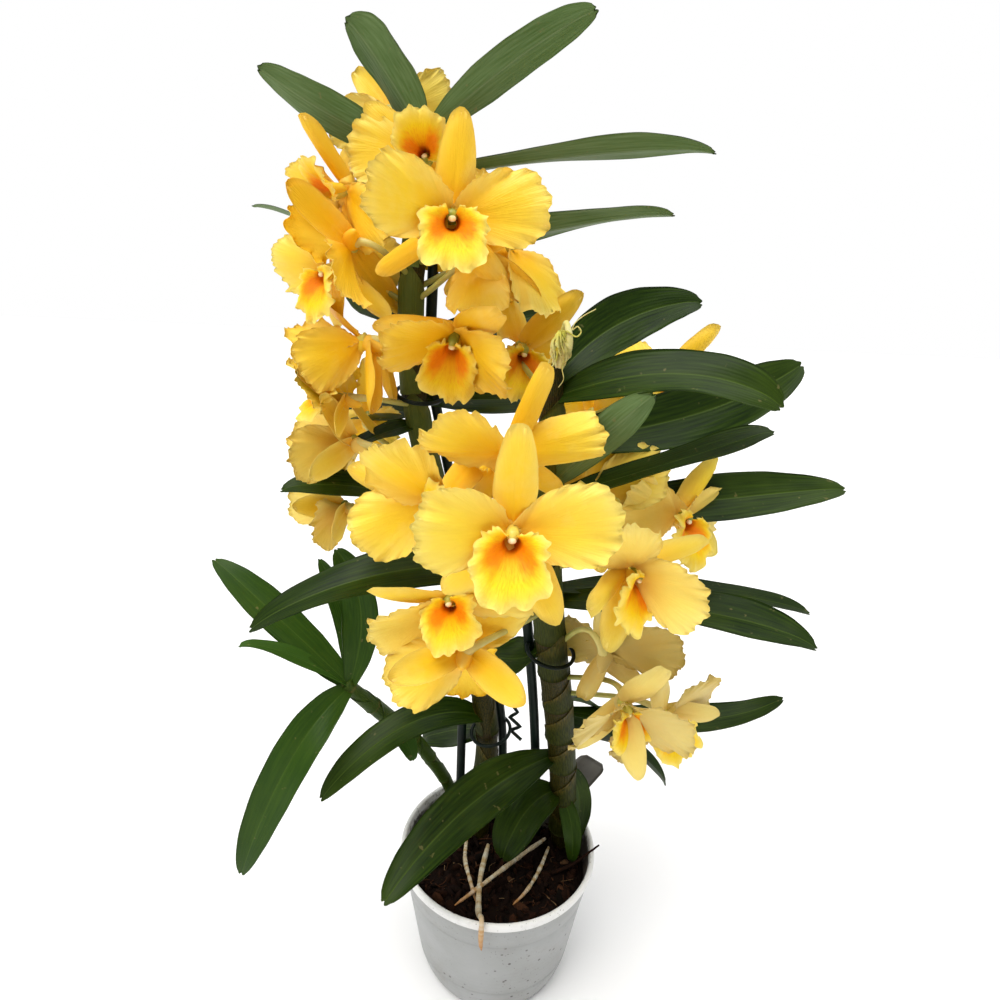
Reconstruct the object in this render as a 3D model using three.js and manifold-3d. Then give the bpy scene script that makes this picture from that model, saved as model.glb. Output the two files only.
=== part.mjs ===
// A potted dendrobium orchid: two tall flowering canes and a young side shoot in a white
// grower's pot, with strap leaves, ruffled trumpet-lipped blooms, stakes, clips and aerial roots.
// Millimetres, +Z up. The origin is the middle of the pot's underside and -Y is the front.
import * as THREE from 'three';
import { mergeVertices } from 'three/addons/utils/BufferGeometryUtils.js';
import Module from 'manifold-3d';

const wasm = await Module();
wasm.setup();

// ---- driving dimensions -------------------------------------------------------------------
const GAP = 0.35;                 // clearance between neighbouring solids
// All heights below are told from a plane that lies this far under the pot. The finished plant is
// moved down, so that the pot's underside is at z = 0.
const UNDERSIDE = 24;
const RIM_TOP = 112;
const LIP_RADIUS = 60.5;
const LIP_HEIGHT = 5;
const WALL = 1.6;
const FLOOR = 2.6;
const STEP_HEIGHT = 91;           // where the body steps out for its thicker upper band
// The pot's body as pairs of height and outside radius: a rounded foot, a shoulder, a plain taper.
const POT_OUTLINE = [[24, 41.5], [26, 43], [33, 46.4], [45, 49.3], [107, 58.8]];
const POT_SIDES = 30;
const SOIL_TOP = 97;
const CANE_SIDES = 8;
const PETAL_LENGTH = 39;
const PETAL_HALF_WIDTH = 15.5;
const DORSAL_LENGTH = 40;         // the sepal at the top of a bloom
const DORSAL_HALF_WIDTH = 8.2;
const LATERAL_LENGTH = 38;        // the two sepals beside the lip
const LATERAL_HALF_WIDTH = 7.6;
const TISSUE = 0.55;              // half the thickness of a petal or leaf at its middle
const LEAF_TISSUE = 0.75;
const PEDICEL_RADIUS = 1.5;
const COLUMN_RADII = [3.8, 1.8];  // at the foot and at the tip of the column

// ---- small vector helpers -----------------------------------------------------------------
const vec = (x, y, z) => new THREE.Vector3(x, y, z);
const at = ([x, y, z]) => vec(x, y, z);
const rad = THREE.MathUtils.degToRad;
const mix = THREE.MathUtils.lerp;

// Position along a list of [place, value] pairs, in straight steps.
function ramp(pairs, place) {
  let k = 1;
  while (k < pairs.length - 1 && pairs[k][0] < place) k += 1;
  const [a, low] = pairs[k - 1];
  const [b, high] = pairs[k];
  const t = THREE.MathUtils.clamp((place - a) / (b - a), 0, 1);
  return mix(low, high, t);
}

// A repeatable random number from 0 to 1 for a bloom and a purpose.
function chance(seed, purpose) {
  const s = Math.sin(seed * 127.1 + purpose * 311.7) * 43758.5453;
  return s - Math.floor(s);
}

// ---- solids -------------------------------------------------------------------------------
// A closed solid from a list of triangles, each of three points.
function solidFrom(triangles) {
  const flat = triangles.flat().flatMap((p) => [p.x, p.y, p.z]);
  let geometry = new THREE.BufferGeometry();
  geometry.setAttribute('position', new THREE.Float32BufferAttribute(flat, 3));
  geometry = mergeVertices(geometry, 1e-3);
  return solidOf(geometry);
}

function solidOf(source) {
  const bare = new THREE.BufferGeometry();
  bare.setAttribute('position', source.getAttribute('position'));
  if (source.index) bare.setIndex(source.index);
  const geometry = mergeVertices(bare, 1e-3);
  const place = geometry.getAttribute('position').array;
  const index = geometry.index.array;
  const corner = (k) => vec(place[3 * k], place[3 * k + 1], place[3 * k + 2]);
  const kept = [];
  let volume = 0;
  for (let k = 0; k < index.length; k += 3) {
    const [a, b, c] = [index[k], index[k + 1], index[k + 2]];
    if (a === b || b === c || a === c) continue;
    volume += corner(a).dot(corner(b).cross(corner(c)));
    kept.push(a, b, c);
  }
  if (volume < 0) {
    for (let k = 0; k < kept.length; k += 3) [kept[k], kept[k + 1]] = [kept[k + 1], kept[k]];
  }
  const mesh = new wasm.Mesh({
    numProp: 3,
    vertProperties: new Float32Array(place),
    triVerts: new Uint32Array(kept),
  });
  return new wasm.Manifold(mesh);
}

function joined(solids) {
  return solids.reduce((all, one) => all.add(one));
}

function largest(solid) {
  const bodies = solid.decompose();
  return bodies.reduce((best, one) => (one.volume() > best.volume() ? one : best));
}

function boxesMeet(one, other) {
  const a = one.boundingBox();
  const b = other.boundingBox();
  return [0, 1, 2].every((k) => a.min[k] < b.max[k] && b.min[k] < a.max[k]);
}

// The solid less every grown neighbour that it would touch.
function clearOf(solid, neighbours) {
  return neighbours.reduce((rest, other) => (boxesMeet(rest, other) ? rest.subtract(other) : rest), solid);
}

// A thin closed blade over a grid of points. Its edge is sharp, or GAP proud of itself when grown.
function blade(steps, across, pointAt, tissue, grow) {
  const middle = [];
  for (let i = 0; i <= steps; i += 1) {
    const row = [];
    for (let j = 0; j <= across; j += 1) row.push(pointAt(i / steps, (2 * j) / across - 1));
    middle.push(row);
  }
  const centreOf = (i) => middle[i][0].clone().add(middle[i][across]).multiplyScalar(0.5);
  const upper = middle.map((row) => row.map(() => null));
  const lower = middle.map((row) => row.map(() => null));
  for (let i = 0; i <= steps; i += 1) {
    const along = centreOf(Math.min(i + 1, steps)).sub(centreOf(Math.max(i - 1, 0)));
    for (let j = 0; j <= across; j += 1) {
      const edge = j === 0 || j === across || i === 0 || i === steps;
      const ring = i === steps ? steps - 1 : i;
      const wide = middle[ring][Math.min(j + 1, across)].clone().sub(middle[ring][Math.max(j - 1, 0)]);
      const normal = wide.cross(along).normalize();
      const point = middle[i][j].clone();
      if (grow > 0 && edge) {
        const outward = point.clone().sub(centreOf(ring === i ? i : i - 1));
        if (outward.length() > 0) point.add(outward.normalize().multiplyScalar(grow));
      }
      const half = (edge ? 0 : tissue) + grow;
      upper[i][j] = point.clone().addScaledVector(normal, half);
      lower[i][j] = point.clone().addScaledVector(normal, -half);
    }
  }
  const triangles = [];
  const quad = (a, b, c, d) => triangles.push([a, b, c], [a, c, d]);
  for (let i = 0; i < steps; i += 1) {
    for (let j = 0; j < across; j += 1) {
      quad(upper[i][j], upper[i][j + 1], upper[i + 1][j + 1], upper[i + 1][j]);
      quad(lower[i][j], lower[i + 1][j], lower[i + 1][j + 1], lower[i][j + 1]);
    }
    quad(upper[i][0], upper[i + 1][0], lower[i + 1][0], lower[i][0]);
    quad(upper[i][across], lower[i][across], lower[i + 1][across], upper[i + 1][across]);
  }
  for (let j = 0; j < across; j += 1) {
    quad(upper[0][j], lower[0][j], lower[0][j + 1], upper[0][j + 1]);
    quad(upper[steps][j], upper[steps][j + 1], lower[steps][j + 1], lower[steps][j]);
  }
  return solidFrom(triangles);
}

// A closed round stem through the points, with its own radius at each.
function stem(points, radii, sides, grow = 0) {
  const line = points.map((p) => p.clone());
  const last = line.length - 1;
  if (grow > 0) {
    line[0].addScaledVector(points[0].clone().sub(points[1]).normalize(), grow);
    line[last].addScaledVector(points[last].clone().sub(points[last - 1]).normalize(), grow);
  }
  let side = null;
  const rings = line.map((p, k) => {
    const along = line[Math.min(k + 1, last)].clone().sub(line[Math.max(k - 1, 0)]).normalize();
    const hint = side ?? (Math.abs(along.z) > 0.9 ? vec(1, 0, 0) : vec(0, 0, 1));
    side = hint.clone().addScaledVector(along, -hint.dot(along)).normalize();
    const other = along.clone().cross(side);
    const ring = [];
    for (let s = 0; s < sides; s += 1) {
      const turn = (2 * Math.PI * s) / sides;
      const reach = radii[k] + grow;
      const out = side.clone().multiplyScalar(Math.cos(turn)).addScaledVector(other, Math.sin(turn));
      ring.push(p.clone().addScaledVector(out, reach));
    }
    return ring;
  });
  const triangles = [];
  for (let k = 0; k < last; k += 1) {
    for (let s = 0; s < sides; s += 1) {
      const n = (s + 1) % sides;
      const [a, b, c, d] = [rings[k][s], rings[k][n], rings[k + 1][n], rings[k + 1][s]];
      triangles.push([a, b, c], [a, c, d]);
    }
  }
  for (let s = 1; s < sides - 1; s += 1) {
    triangles.push([rings[0][0], rings[0][s + 1], rings[0][s]]);
    triangles.push([rings[last][0], rings[last][s], rings[last][s + 1]]);
  }
  return solidFrom(triangles);
}

// Points along a smooth curve through a few chosen places.
function curveThrough(places, count) {
  return new THREE.CatmullRomCurve3(places.map(at), false, 'centripetal').getPoints(count);
}

// ---- canes --------------------------------------------------------------------------------
// Each cane's axis goes through chosen places, with its radius there.
const CANES = {
  front: {
    places: [[43, 17, 84], [42, 14, 110], [38, 8, 159], [30, -5, 218], [22, -19, 266], [16, -32, 316],
      [14, -42, 360], [13, -48, 389], [13, -50, 412]],
    radii: [6, 8.8, 8.6, 9, 8.6, 7.8, 7, 6, 3.5],
  },
  back: {
    places: [[-12, 22, 84], [-11, 21, 130], [-10, 20, 181], [-30, 18, 268], [-42, 16, 327], [-52, 14, 369],
      [-56, 12, 395], [-56, 8, 445], [-51, 5, 489], [-48, 2, 512]],
    radii: [5.5, 7.5, 7, 6.8, 6.8, 6.8, 6.8, 6.4, 5.4, 3],
  },
  shoot: {
    places: [[-29, 35, 84], [-34, 36, 118], [-57, 25, 165], [-75, 12, 193], [-93, 0, 220]],
    radii: [3.4, 3.8, 4.5, 5.2, 4],
  },
};

function caneAt(cane, height) {
  const axis = (k) => ramp(cane.places.map((p) => [p[2], p[k]]), height);
  return vec(axis(0), axis(1), height);
}

function caneSolid(cane, grow = 0) {
  return stem(cane.places.map(at), cane.radii, CANE_SIDES, grow);
}

// ---- leaves -------------------------------------------------------------------------------
// Half-width along a strap leaf, as a share of its widest, from sheath to tip.
const LEAF_OUTLINE = [[0, 0.3], [0.2, 0.76], [0.4, 0.98], [0.6, 0.98], [0.8, 0.8], [0.92, 0.5], [1, 0.1]];
const LEAF_STEPS = 5;

// Each leaf: cane, where it springs, a place half-way, its tip, its width and the degrees that
// its upper face tips to the front.
const LEAVES = [
  ['back', [-53, 4, 498], [-97, 9, 517], [-126, 10, 534], 22, -60],
  ['back', [-50, 2, 508], [-69, 9, 535], [-86, 13, 555], 31, -60],
  ['back', [-48, 2, 508], [-10, -2, 537], [24, -10, 555], 21, -60],
  ['back', [-51, 5, 490], [27, 15, 505], [86, 10, 508], 22, -20],
  ['back', [-56, 8, 450], [9, 25, 471], [72, 20, 482], 26, -25],
  ['front', [13, -50, 406], [41, -35, 430], [79, -25, 441], 28, 55],
  ['front', [13, -49, 398], [59, -71, 413], [98, -84, 404], 28, 45],
  ['front', [13, -46, 379], [85, -20, 390], [139, 0, 414], 34, 60],
  ['front', [14, -42, 357], [32, -70, 386], [50, -76, 406], 19, -60],
  ['front', [14, -41, 350], [67, -61, 376], [101, -70, 393], 21, 25],
  ['front', [15, -37, 338], [103, -15, 346], [173, 0, 351], 30, 42],
  ['front', [18, -25, 297], [104, 0, 288], [173, 10, 274], 24, 14],
  ['front', [18, -24, 290], [91, -45, 298], [143, -60, 290], 30, 18],
  ['front', [28, -3, 210], [124, 25, 188], [176, 30, 204], 26, 10],
  ['front', [31, 2, 195], [74, 20, 174], [107, 15, 146], 22, 10],
  ['back', [-53, 13, 372], [-72, 5, 367], [-90, 0, 358], 17, 20],
  ['back', [-41, 15, 323], [-81, -5, 341], [-118, -20, 343], 22, 28],
  ['front', [16, -30, 307], [-52, -60, 319], [-117, -75, 295], 30, 22],
  ['back', [-54, 13, 378], [-84, 40, 372], [-115, 70, 361], 30, 30],
  ['back', [-57, 10, 421], [-78, 35, 431], [-97, 55, 438], 26, 30],
  ['back', [-57, 10, 413], [-12, 40, 424], [30, 55, 433], 28, 40],
  ['back', [-55, 12, 385], [-5, 34, 384], [46, 45, 387], 26, 40],
  ['back', [-56, 8, 449], [-98, 40, 466], [-151, 60, 482], 22, 0],
  ['back', [-10, 20, 186], [-55, -5, 198], [-103, -30, 163], 26, 25],
  ['back', [-10, 20, 178], [-31, 42, 160], [-57, 60, 138], 26, 60],
  ['front', [32, 6, 172], [-17, -34, 168], [-58, -80, 147], 34, 20],
  ['front', [35, 9, 143], [16, -8, 141], [2, -20, 115], 34, 10],
  ['front', [37, 10, 142], [45, -2, 128], [46, -9, 104], 14, 30],
  ['front', [38, 8, 163], [50, 9, 138], [46, 1, 103], 18, 30],
  ['shoot', [-91, 1, 218], [-128, 5, 254], [-173, 20, 287], 26, 30],
  ['shoot', [-91, 1, 217], [-121, -10, 243], [-145, -20, 255], 15, 10],
  ['shoot', [-91, 1, 217], [-117, -30, 190], [-147, -40, 116], 28, 50],
  ['shoot', [-91, 1, 218], [-86, 12, 263], [-102, 20, 296], 26, 30],
  ['shoot', [-91, 1, 218], [-97, 24, 247], [-115, 32, 284], 18, 30],
  ['shoot', [-72, 14, 188], [-60, 4, 182], [-53, -2, 169], 14, 20],
  ['front', [20, -16, 258], [5, -10, 247], [-13, -4, 246], 30, 20],
  ['front', [33, 4, 213], [49, 12, 206], [60, 15, 197], 22, -20],
];

function leafSolid([, base, middle, tip, width, turn], grow = 0) {
  const [start, through, end] = [at(base), at(middle), at(tip)];
  const pull = through.clone().multiplyScalar(2).addScaledVector(start, -0.5).addScaledVector(end, -0.5);
  const line = new THREE.QuadraticBezierCurve3(start, pull, end);
  const level = end.clone().sub(start).cross(vec(0, 0, 1)).normalize();
  const pointAt = (u, v) => {
    const along = line.getTangent(u);
    const side = level.clone().addScaledVector(along, -level.dot(along)).normalize();
    side.applyAxisAngle(along, rad(tip[0] > base[0] ? turn : -turn));
    const face = side.clone().cross(along);
    const half = 0.42 * width * ramp(LEAF_OUTLINE, u);
    return line.getPoint(u).addScaledVector(side, v * half).addScaledVector(face, 0.16 * half * Math.abs(v));
  };
  return blade(LEAF_STEPS, 2, pointAt, LEAF_TISSUE, grow);
}

// ---- blooms -------------------------------------------------------------------------------
// Half-widths along a sepal and a petal, as shares of the widest.
const SEPAL_OUTLINE = [[0, 0.16], [0.3, 0.9], [0.65, 0.85], [1, 0.3]];
const PETAL_OUTLINE = [[0, 0.1], [0.35, 0.74], [0.72, 1], [1, 0.42]];
const TEPAL_STEPS = 3;
const TEPAL_BASE = 2;             // distance from the bloom's middle to the foot of a tepal
const TEPAL_DROOP = 0.1;          // how far its tip curls back, as a share of its length
// Each kind: length, half-width, outline, how far in front of the middle it is set, its waves.
const TEPALS = {
  petal: { length: PETAL_LENGTH, half: PETAL_HALF_WIDTH, outline: PETAL_OUTLINE, set: 0.4, ruffle: 1.6 },
  dorsal: { length: DORSAL_LENGTH, half: DORSAL_HALF_WIDTH, outline: SEPAL_OUTLINE, set: 0.9, ruffle: 0 },
  lateral: { length: LATERAL_LENGTH, half: LATERAL_HALF_WIDTH, outline: SEPAL_OUTLINE, set: -1.6, ruffle: 0 },
};
// Each tepal of an evenly opened bloom: its kind, the degrees that it stands clockwise from the
// top, and the degrees that it leans forward.
const STANCE = {
  top: ['dorsal', 0, 4],
  right: ['petal', 84, 4],
  left: ['petal', -84, 4],
  lowRight: ['lateral', 142, -6],
  lowLeft: ['lateral', -142, -6],
};

// Each bloom: its middle, the way it faces (degrees right of front, degrees up), its turn
// clockwise, its size, its cane, the height on the cane that its stalk springs from, and what
// stands differently: a tepal's angle, lean and the degrees that a rolled one's sides roll back;
// the lip's turn right, up and clockwise with its size; and a place that the stalk bends through.
const BLOOMS = [
  [[-34, -30, 469], 8, 10, 0, 1.05, 'back', 452,
    { top: [5, 14], right: [80, 20], left: [-78, 42], lowRight: [130, -18, 60],
      lowLeft: [-121, -16, 100] }],
  [[-48, -1, 497], -8, 8, 166, 0.95, 'back', 480,
    { top: [0, -43], right: [111, 8], left: [-35, -50], lowRight: [141, 12], lowLeft: [-179, -41],
      lip: [-5, 20, 0, 0.88] }],
  [[-73, 48, 526], 180, 0, 0, 0.9, 'back', 503, { top: [42, 37], right: [101, 23], left: [-78, -13] }],
  [[-86, 3, 483], -22, -20, 172, 0.9, 'back', 474,
    { top: [33, -17], right: [97, 0], left: [-51, 36], lowRight: [130, -44], lowLeft: [167, 17, 110],
      lip: [30, 0, 0, 0.85] }],
  [[-82, -7, 459], -130, 0, -135, 1, 'back', 446,
    { top: [-1, 5], right: [82, 30], left: [-93, -32], lowRight: [165, 45], lowLeft: [-170, 10] }],
  [[-93, 1, 448], -35, -10, -10, 0.9, 'back', 432,
    { top: [-20, -35], right: [99, -50], left: [-75, 17] }],
  [[-76, -9, 416], -105, -20, 0, 0.95, 'back', 405,
    { top: [-36, 43], right: [101, 40], left: [20, 70], lowRight: [155, 11, 110],
      lowLeft: [-153, 16, 100] }],
  [[-87, -9, 388], -85, -15, 0, 0.8, 'back', 383,
    { top: [52, 29], right: [60, 29], left: [-22, 50], lowRight: [113, 15], lip: [40, 40, 0, 1] }],
  [[-83, -8, 366], -120, -10, 0, 0.9, 'back', 358,
    { top: [45, -7], right: [96, 22], left: [44, 80], lowRight: [109, 8], lowLeft: [-148, 49] }],
  [[-89, -6, 331], -120, -10, 0, 0.8, 'back', 326,
    { top: [76, 9], right: [105, -7], left: [60, 80], lowRight: [111, -20] }],
  [[-84, 35, 371], 170, 0, 0, 0.8, 'back', 350, { right: [130, 30], left: [-105, -30] }],
  [[-31, -24, 422], -12, -30, 8, 1, 'back', 410,
    { top: [40, 35], right: [91, 49], left: [-72, 58], lowRight: [162, 1], lowLeft: [-93, 14] }],
  [[-1, 0, 415], 15, -8, 15, 0.95, 'front', 398,
    { top: [27, 16], right: [99, -8], left: [-12, -50, 110], lowLeft: [169, -35] }],
  [[-9, 1, 461], 45, -5, 30, 0.95, 'back', 440,
    { top: [21, -18], right: [135, 52], left: [-20, -50], lowRight: [115, -14], lowLeft: [-175, -30],
      lip: [150, 0, 0, 0.8] }],
  [[-24, -7, 458], 180, 15, 96, 0.95, 'back', 434,
    { top: [14, 43], right: [92, -50], left: [-89, 40], stalk: [-36, -3, 450] }],
  [[-3, -107, 358], 0, 8, 3, 1, 'front', 345,
    { top: [-2, 22], right: [77, 17], left: [-86, 42], lowRight: [149, 10], lowLeft: [-141, -7] }],
  [[-6, -72, 379], -30, -5, 20, 1, 'front', 366,
    { top: [4, 5, 110], right: [56, -14, 90], left: [-56, 65], lowRight: [136, -35], lowLeft: [-160, -9],
      lip: [-90, -70, 140, 0.95] }],
  [[-33, -70, 357], -25, 0, -80, 1, 'front', 337,
    { top: [5, 22], right: [53, 50], left: [-40, 35], lowRight: [100, -50], lowLeft: [-120, -30] }],
  [[-27, -72, 312], -15, -30, -10, 0.95, 'front', 300,
    { top: [-39, 32], right: [77, 6], left: [-82, 50], lowRight: [171, -8], lowLeft: [-140, -20],
      lip: [20, 50, 0, 0.95] }],
  [[-20, -83, 294], 175, -25, 0, 0.95, 'front', 287,
    { top: [11, 40], right: [121, 12], left: [-30, 25], lowRight: [112, -34], lowLeft: [-121, -23],
      stalk: [-9, -92, 307] }],
  [[49, -71, 330], -5, -5, 45, 0.95, 'front', 312,
    { top: [31, -17, 90], right: [50, 52], left: [-60, 45], lowRight: [148, 39],
      lowLeft: [-153, 68, 100], lip: [28, 20, 0, 0.95] }],
  [[78, -31, 342], 30, 5, 30, 0.95, 'front', 330,
    { top: [20, -1, 80], right: [69, -2], left: [-104, 12], lowRight: [100, 10], lowLeft: [-170, -34] }],
  [[33, -46, 354], 10, 20, 25, 0.95, 'front', 352, { top: [3, 7], right: [43, 15], left: [-53, -46] }],
  [[57, -51, 250], -10, -20, 10, 0.95, 'front', 238,
    { top: [16, 13], right: [87, 34], left: [-80, 60], lowRight: [142, 60], lowLeft: [-155, 26],
      lip: [30, 10, 0, 0.88] }],
  [[82, -36, 235], 40, -10, -26, 0.9, 'front', 226,
    { right: [100, 21], lowRight: [122, 36], lip: [-20, 0, 0, 1] }],
  [[49, -36, 269], 160, 0, 0, 0.95, 'front', 256,
    { right: [110, 45], left: [-82, 14], lowRight: [162, 19, 80], lowLeft: [-150, 40],
      stalk: [39, -33, 292] }],
  [[69, -2, 399], 20, 10, 0, 0.95, 'front', 385,
    { top: [36, 34, 100], left: [-34, -37], lowRight: [174, -50], lowLeft: [-156, 45, 100] }],
  [[37, 0, 384], 160, 0, 0, 0.85, 'front', 380, { right: [80, 40], left: [-55, -39] }],
];

// Directions of a bloom: to its right, up its dorsal sepal and out of its face.
function bloomFrame(right, up, roll) {
  const face = vec(Math.sin(rad(right)), -Math.cos(rad(right)), 0).multiplyScalar(Math.cos(rad(up)));
  face.z = Math.sin(rad(up));
  const rise = vec(0, 0, 1).addScaledVector(face, -face.z).normalize();
  const side = rise.clone().cross(face);
  const turned = rise.clone().applyAxisAngle(face, -rad(roll));
  return [side.applyAxisAngle(face, -rad(roll)), turned, face];
}

// A bloom's own right, up and out, turned to the right, up and clockwise, and made larger.
function ownFrame(right, up, roll, size) {
  const out = vec(Math.sin(rad(right)), 0, Math.cos(rad(right))).multiplyScalar(Math.cos(rad(up)));
  out.y = Math.sin(rad(up));
  const rise = vec(0, 1, 0).addScaledVector(out, -out.y).normalize();
  const side = rise.clone().cross(out).applyAxisAngle(out, -rad(roll));
  return [side, rise.applyAxisAngle(out, -rad(roll)), out].map((axis) => axis.multiplyScalar(size));
}

function bloomSolid([middle, right, up, roll, size, caneName, height, stance], seed, grow = 0) {
  const [x, y, z] = bloomFrame(right, up, roll);
  const centre = at(middle);
  const toWorld = (a, b, c) => centre.clone().addScaledVector(x, a * size).addScaledVector(y, b * size)
    .addScaledVector(z, c * size);
  const tepal = (kind, angle, lean, fold = 0) => {
    const { length, half, outline, set, ruffle } = TEPALS[kind];
    const [sin, cos] = [Math.sin(rad(angle)), Math.cos(rad(angle))];
    const narrowed = fold > 0 ? Math.sin(rad(fold)) / rad(fold) : 1;
    const dropped = fold > 0 ? (1 - Math.cos(rad(fold))) / rad(fold) : 0;
    const pointAt = (u, v) => {
      const along = TEPAL_BASE + length * u;
      const reach = half * ramp(outline, u);
      const across = reach * narrowed * v;
      const wave = ruffle * Math.abs(v) * Math.sin(u * 9 + (v > 0 ? 0 : 2) + seed);
      const tip = TEPAL_DROOP * length * u * u + reach * dropped * Math.abs(v);
      const out = set + along * Math.sin(rad(lean)) - tip + wave;
      const run = along * Math.cos(rad(lean));
      return toWorld(sin * run + cos * across, cos * run - sin * across, out);
    };
    return blade(TEPAL_STEPS, 2, pointAt, TISSUE, grow);
  };
  const pieces = Object.entries(STANCE).map(([name, [kind, ...pose]]) => (
    tepal(kind, ...(stance[name] ?? pose))
  ));
  const [lipSide, lipRise, lipOut] = ownFrame(...(stance.lip ?? [0, 0, 0, 1]));
  const toLip = (a, b, c) => {
    const local = lipSide.clone().multiplyScalar(a).addScaledVector(lipRise, b).addScaledVector(lipOut, c);
    return toWorld(...local);
  };
  const column = stem([toWorld(0, 0, -5), toLip(0, 1, 10)], COLUMN_RADII, 4, grow);
  pieces.push(lipSolid(toLip, grow), column);
  const root = caneAt(CANES[caneName], height);
  const behind = toWorld(0, -1, -3);
  const leave = stance.stalk ? at(stance.stalk) : toWorld(0, -4, -22);
  const bend = root.clone().lerp(leave, 0.5).add(vec(0, 0, -3));
  const stalk = new THREE.CubicBezierCurve3(root, bend, leave, behind);
  const radii = [1, 1, 1, 1.15, 1.9].map((share) => share * PEDICEL_RADIUS);
  pieces.push(stem(stalk.getPoints(4), radii, 4, grow));
  return joined(pieces);
}

// The lip: a short trumpet round the column, open along its top, that flares into a lobed limb.
const LIP_TURN = 150;             // degrees that the lip wraps to either side of its keel
const LIP_REACH = [[0, 19.5], [27, 20.2], [50, 18], [64, 15], [78, 13.2], [100, 13.1], [120, 11.5], [150, 7]];
const THROAT_REACH = 3.8;
const THROAT_DEPTH = 9;
const LIP_LENGTH = [12, 21];      // how far forward its upper edge and its keel end
const LIP_FOOT = 2.4;             // how far the lip stands off its own middle where it begins
const LIP_DROP = [1.2, 2.8];      // how far below the column it begins, and how far it falls

function lipSolid(toLip, grow) {
  const pointAt = (u, v) => {
    const turn = rad(LIP_TURN) * v;
    const keel = (1 + Math.cos(turn)) / 2;
    const far = ramp(LIP_REACH, Math.abs(LIP_TURN * v));
    const reach = u < 1 ? mix(LIP_FOOT, THROAT_REACH, 2 * u) : far;
    const depth = u < 1 ? 2 * u * THROAT_DEPTH : mix(LIP_LENGTH[0], LIP_LENGTH[1], keel);
    const fall = LIP_DROP[0] + LIP_DROP[1] * u;
    return toLip(reach * Math.sin(turn), -fall - reach * Math.cos(turn), depth);
  };
  return blade(2, 6, pointAt, TISSUE, grow);
}

// ---- pot and substrate --------------------------------------------------------------------
const turnedBody = (profile, sides) => {
  const points = profile.map(([r, z]) => new THREE.Vector2(r, z));
  return solidOf(new THREE.LatheGeometry(points, sides).rotateX(Math.PI / 2));
};

const bodyRadius = (z) => ramp(POT_OUTLINE, z);
const FLOOR_TOP = UNDERSIDE + FLOOR;

const DRAIN_COUNT = 6;
const DRAIN_RADIUS = 4;
const DRAIN_CIRCLE = 30;

// Heights at which the inside of the wall turns, from the pot's floor up.
const wallHeights = [FLOOR_TOP, ...POT_OUTLINE.slice(2, -1).map(([z]) => z)];

function potSolid() {
  const under = RIM_TOP - LIP_HEIGHT;
  const foot = POT_OUTLINE.slice(0, -1).map(([z, r]) => [r, z]);
  const inside = [...wallHeights].reverse().map((z) => [bodyRadius(z) - WALL, z]);
  const profile = [
    [0, UNDERSIDE], ...foot, [bodyRadius(STEP_HEIGHT), STEP_HEIGHT],
    [bodyRadius(STEP_HEIGHT) + 0.7, STEP_HEIGHT + 1], [bodyRadius(under) + 0.2, under],
    [LIP_RADIUS, under + 0.4], [LIP_RADIUS, RIM_TOP - 0.8],
    [LIP_RADIUS - 0.8, RIM_TOP], [LIP_RADIUS - 2.4, RIM_TOP], [bodyRadius(under) - WALL, under - 2],
    ...inside, [0, FLOOR_TOP],
  ];
  let pot = turnedBody(profile, POT_SIDES);
  for (let k = 0; k < DRAIN_COUNT; k += 1) {
    const turn = (2 * Math.PI * (k + 0.5)) / DRAIN_COUNT;
    const hole = new THREE.CylinderGeometry(DRAIN_RADIUS, DRAIN_RADIUS, 4 * FLOOR, 6).rotateX(Math.PI / 2);
    hole.translate(DRAIN_CIRCLE * Math.cos(turn), DRAIN_CIRCLE * Math.sin(turn), UNDERSIDE + FLOOR / 2);
    pot = pot.subtract(solidOf(hole));
  }
  return pot;
}

const SOIL_RINGS = [0, 16, 32, 48];
const SOIL_SECTORS = 18;

function soilSolid() {
  const wallRadius = (z) => bodyRadius(z) - WALL - GAP;
  const low = FLOOR_TOP + GAP;
  const bump = (r, turn) => 1.6 * Math.sin(r * 0.21 + 3 * turn) + 1.2 * Math.cos(r * 0.33 - 5 * turn);
  const rings = SOIL_RINGS.map((r) => ({ r, lift: true, z: SOIL_TOP }));
  const shoulder = SOIL_TOP - 4;
  for (const z of [shoulder, ...wallHeights.slice(1).reverse(), low]) {
    rings.push({ r: wallRadius(z), lift: false, z });
  }
  rings.push({ r: 0, lift: false, z: low });
  const grid = rings.map(({ r, lift, z }) => {
    const row = [];
    for (let s = 0; s < SOIL_SECTORS; s += 1) {
      const turn = (2 * Math.PI * s) / SOIL_SECTORS;
      row.push(vec(r * Math.cos(turn), r * Math.sin(turn), z + (lift && r > 0 ? bump(r, turn) : 0)));
    }
    return row;
  });
  const triangles = [];
  for (let k = 0; k < grid.length - 1; k += 1) {
    for (let s = 0; s < SOIL_SECTORS; s += 1) {
      const n = (s + 1) % SOIL_SECTORS;
      const [a, b, c, d] = [grid[k][s], grid[k][n], grid[k + 1][n], grid[k + 1][s]];
      triangles.push([a, b, c], [a, c, d]);
    }
  }
  return solidFrom(triangles);
}

// ---- roots, stakes, clips and label -------------------------------------------------------
const ROOTS = {
  root_front: [
    [[-6, 4, 103], [-10, -22, 103], [-10, -46, 105], [-8, -60, 115], [-8, -64.5, 106], [-9, -64, 96]],
    [[31, 10, 104], [12, -8, 105], [-10, -28, 103.5], [-24, -40, 102]],
  ],
  root_left: [[[-20, 6, 104], [-20, -8, 103], [-15, -26, 102], [-12, -34, 99]]],
  root_right: [[[33, 5, 102], [26, -12, 100.5], [18, -26, 99.5], [10, -34, 97.5]]],
};
const ROOT_RADII = { root_front: [1.7, 1.4], root_left: [1.3], root_right: [1.2] };
const ROOT_TAPER = [[0, 1], [0.6, 1], [1, 0.45]];

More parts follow.
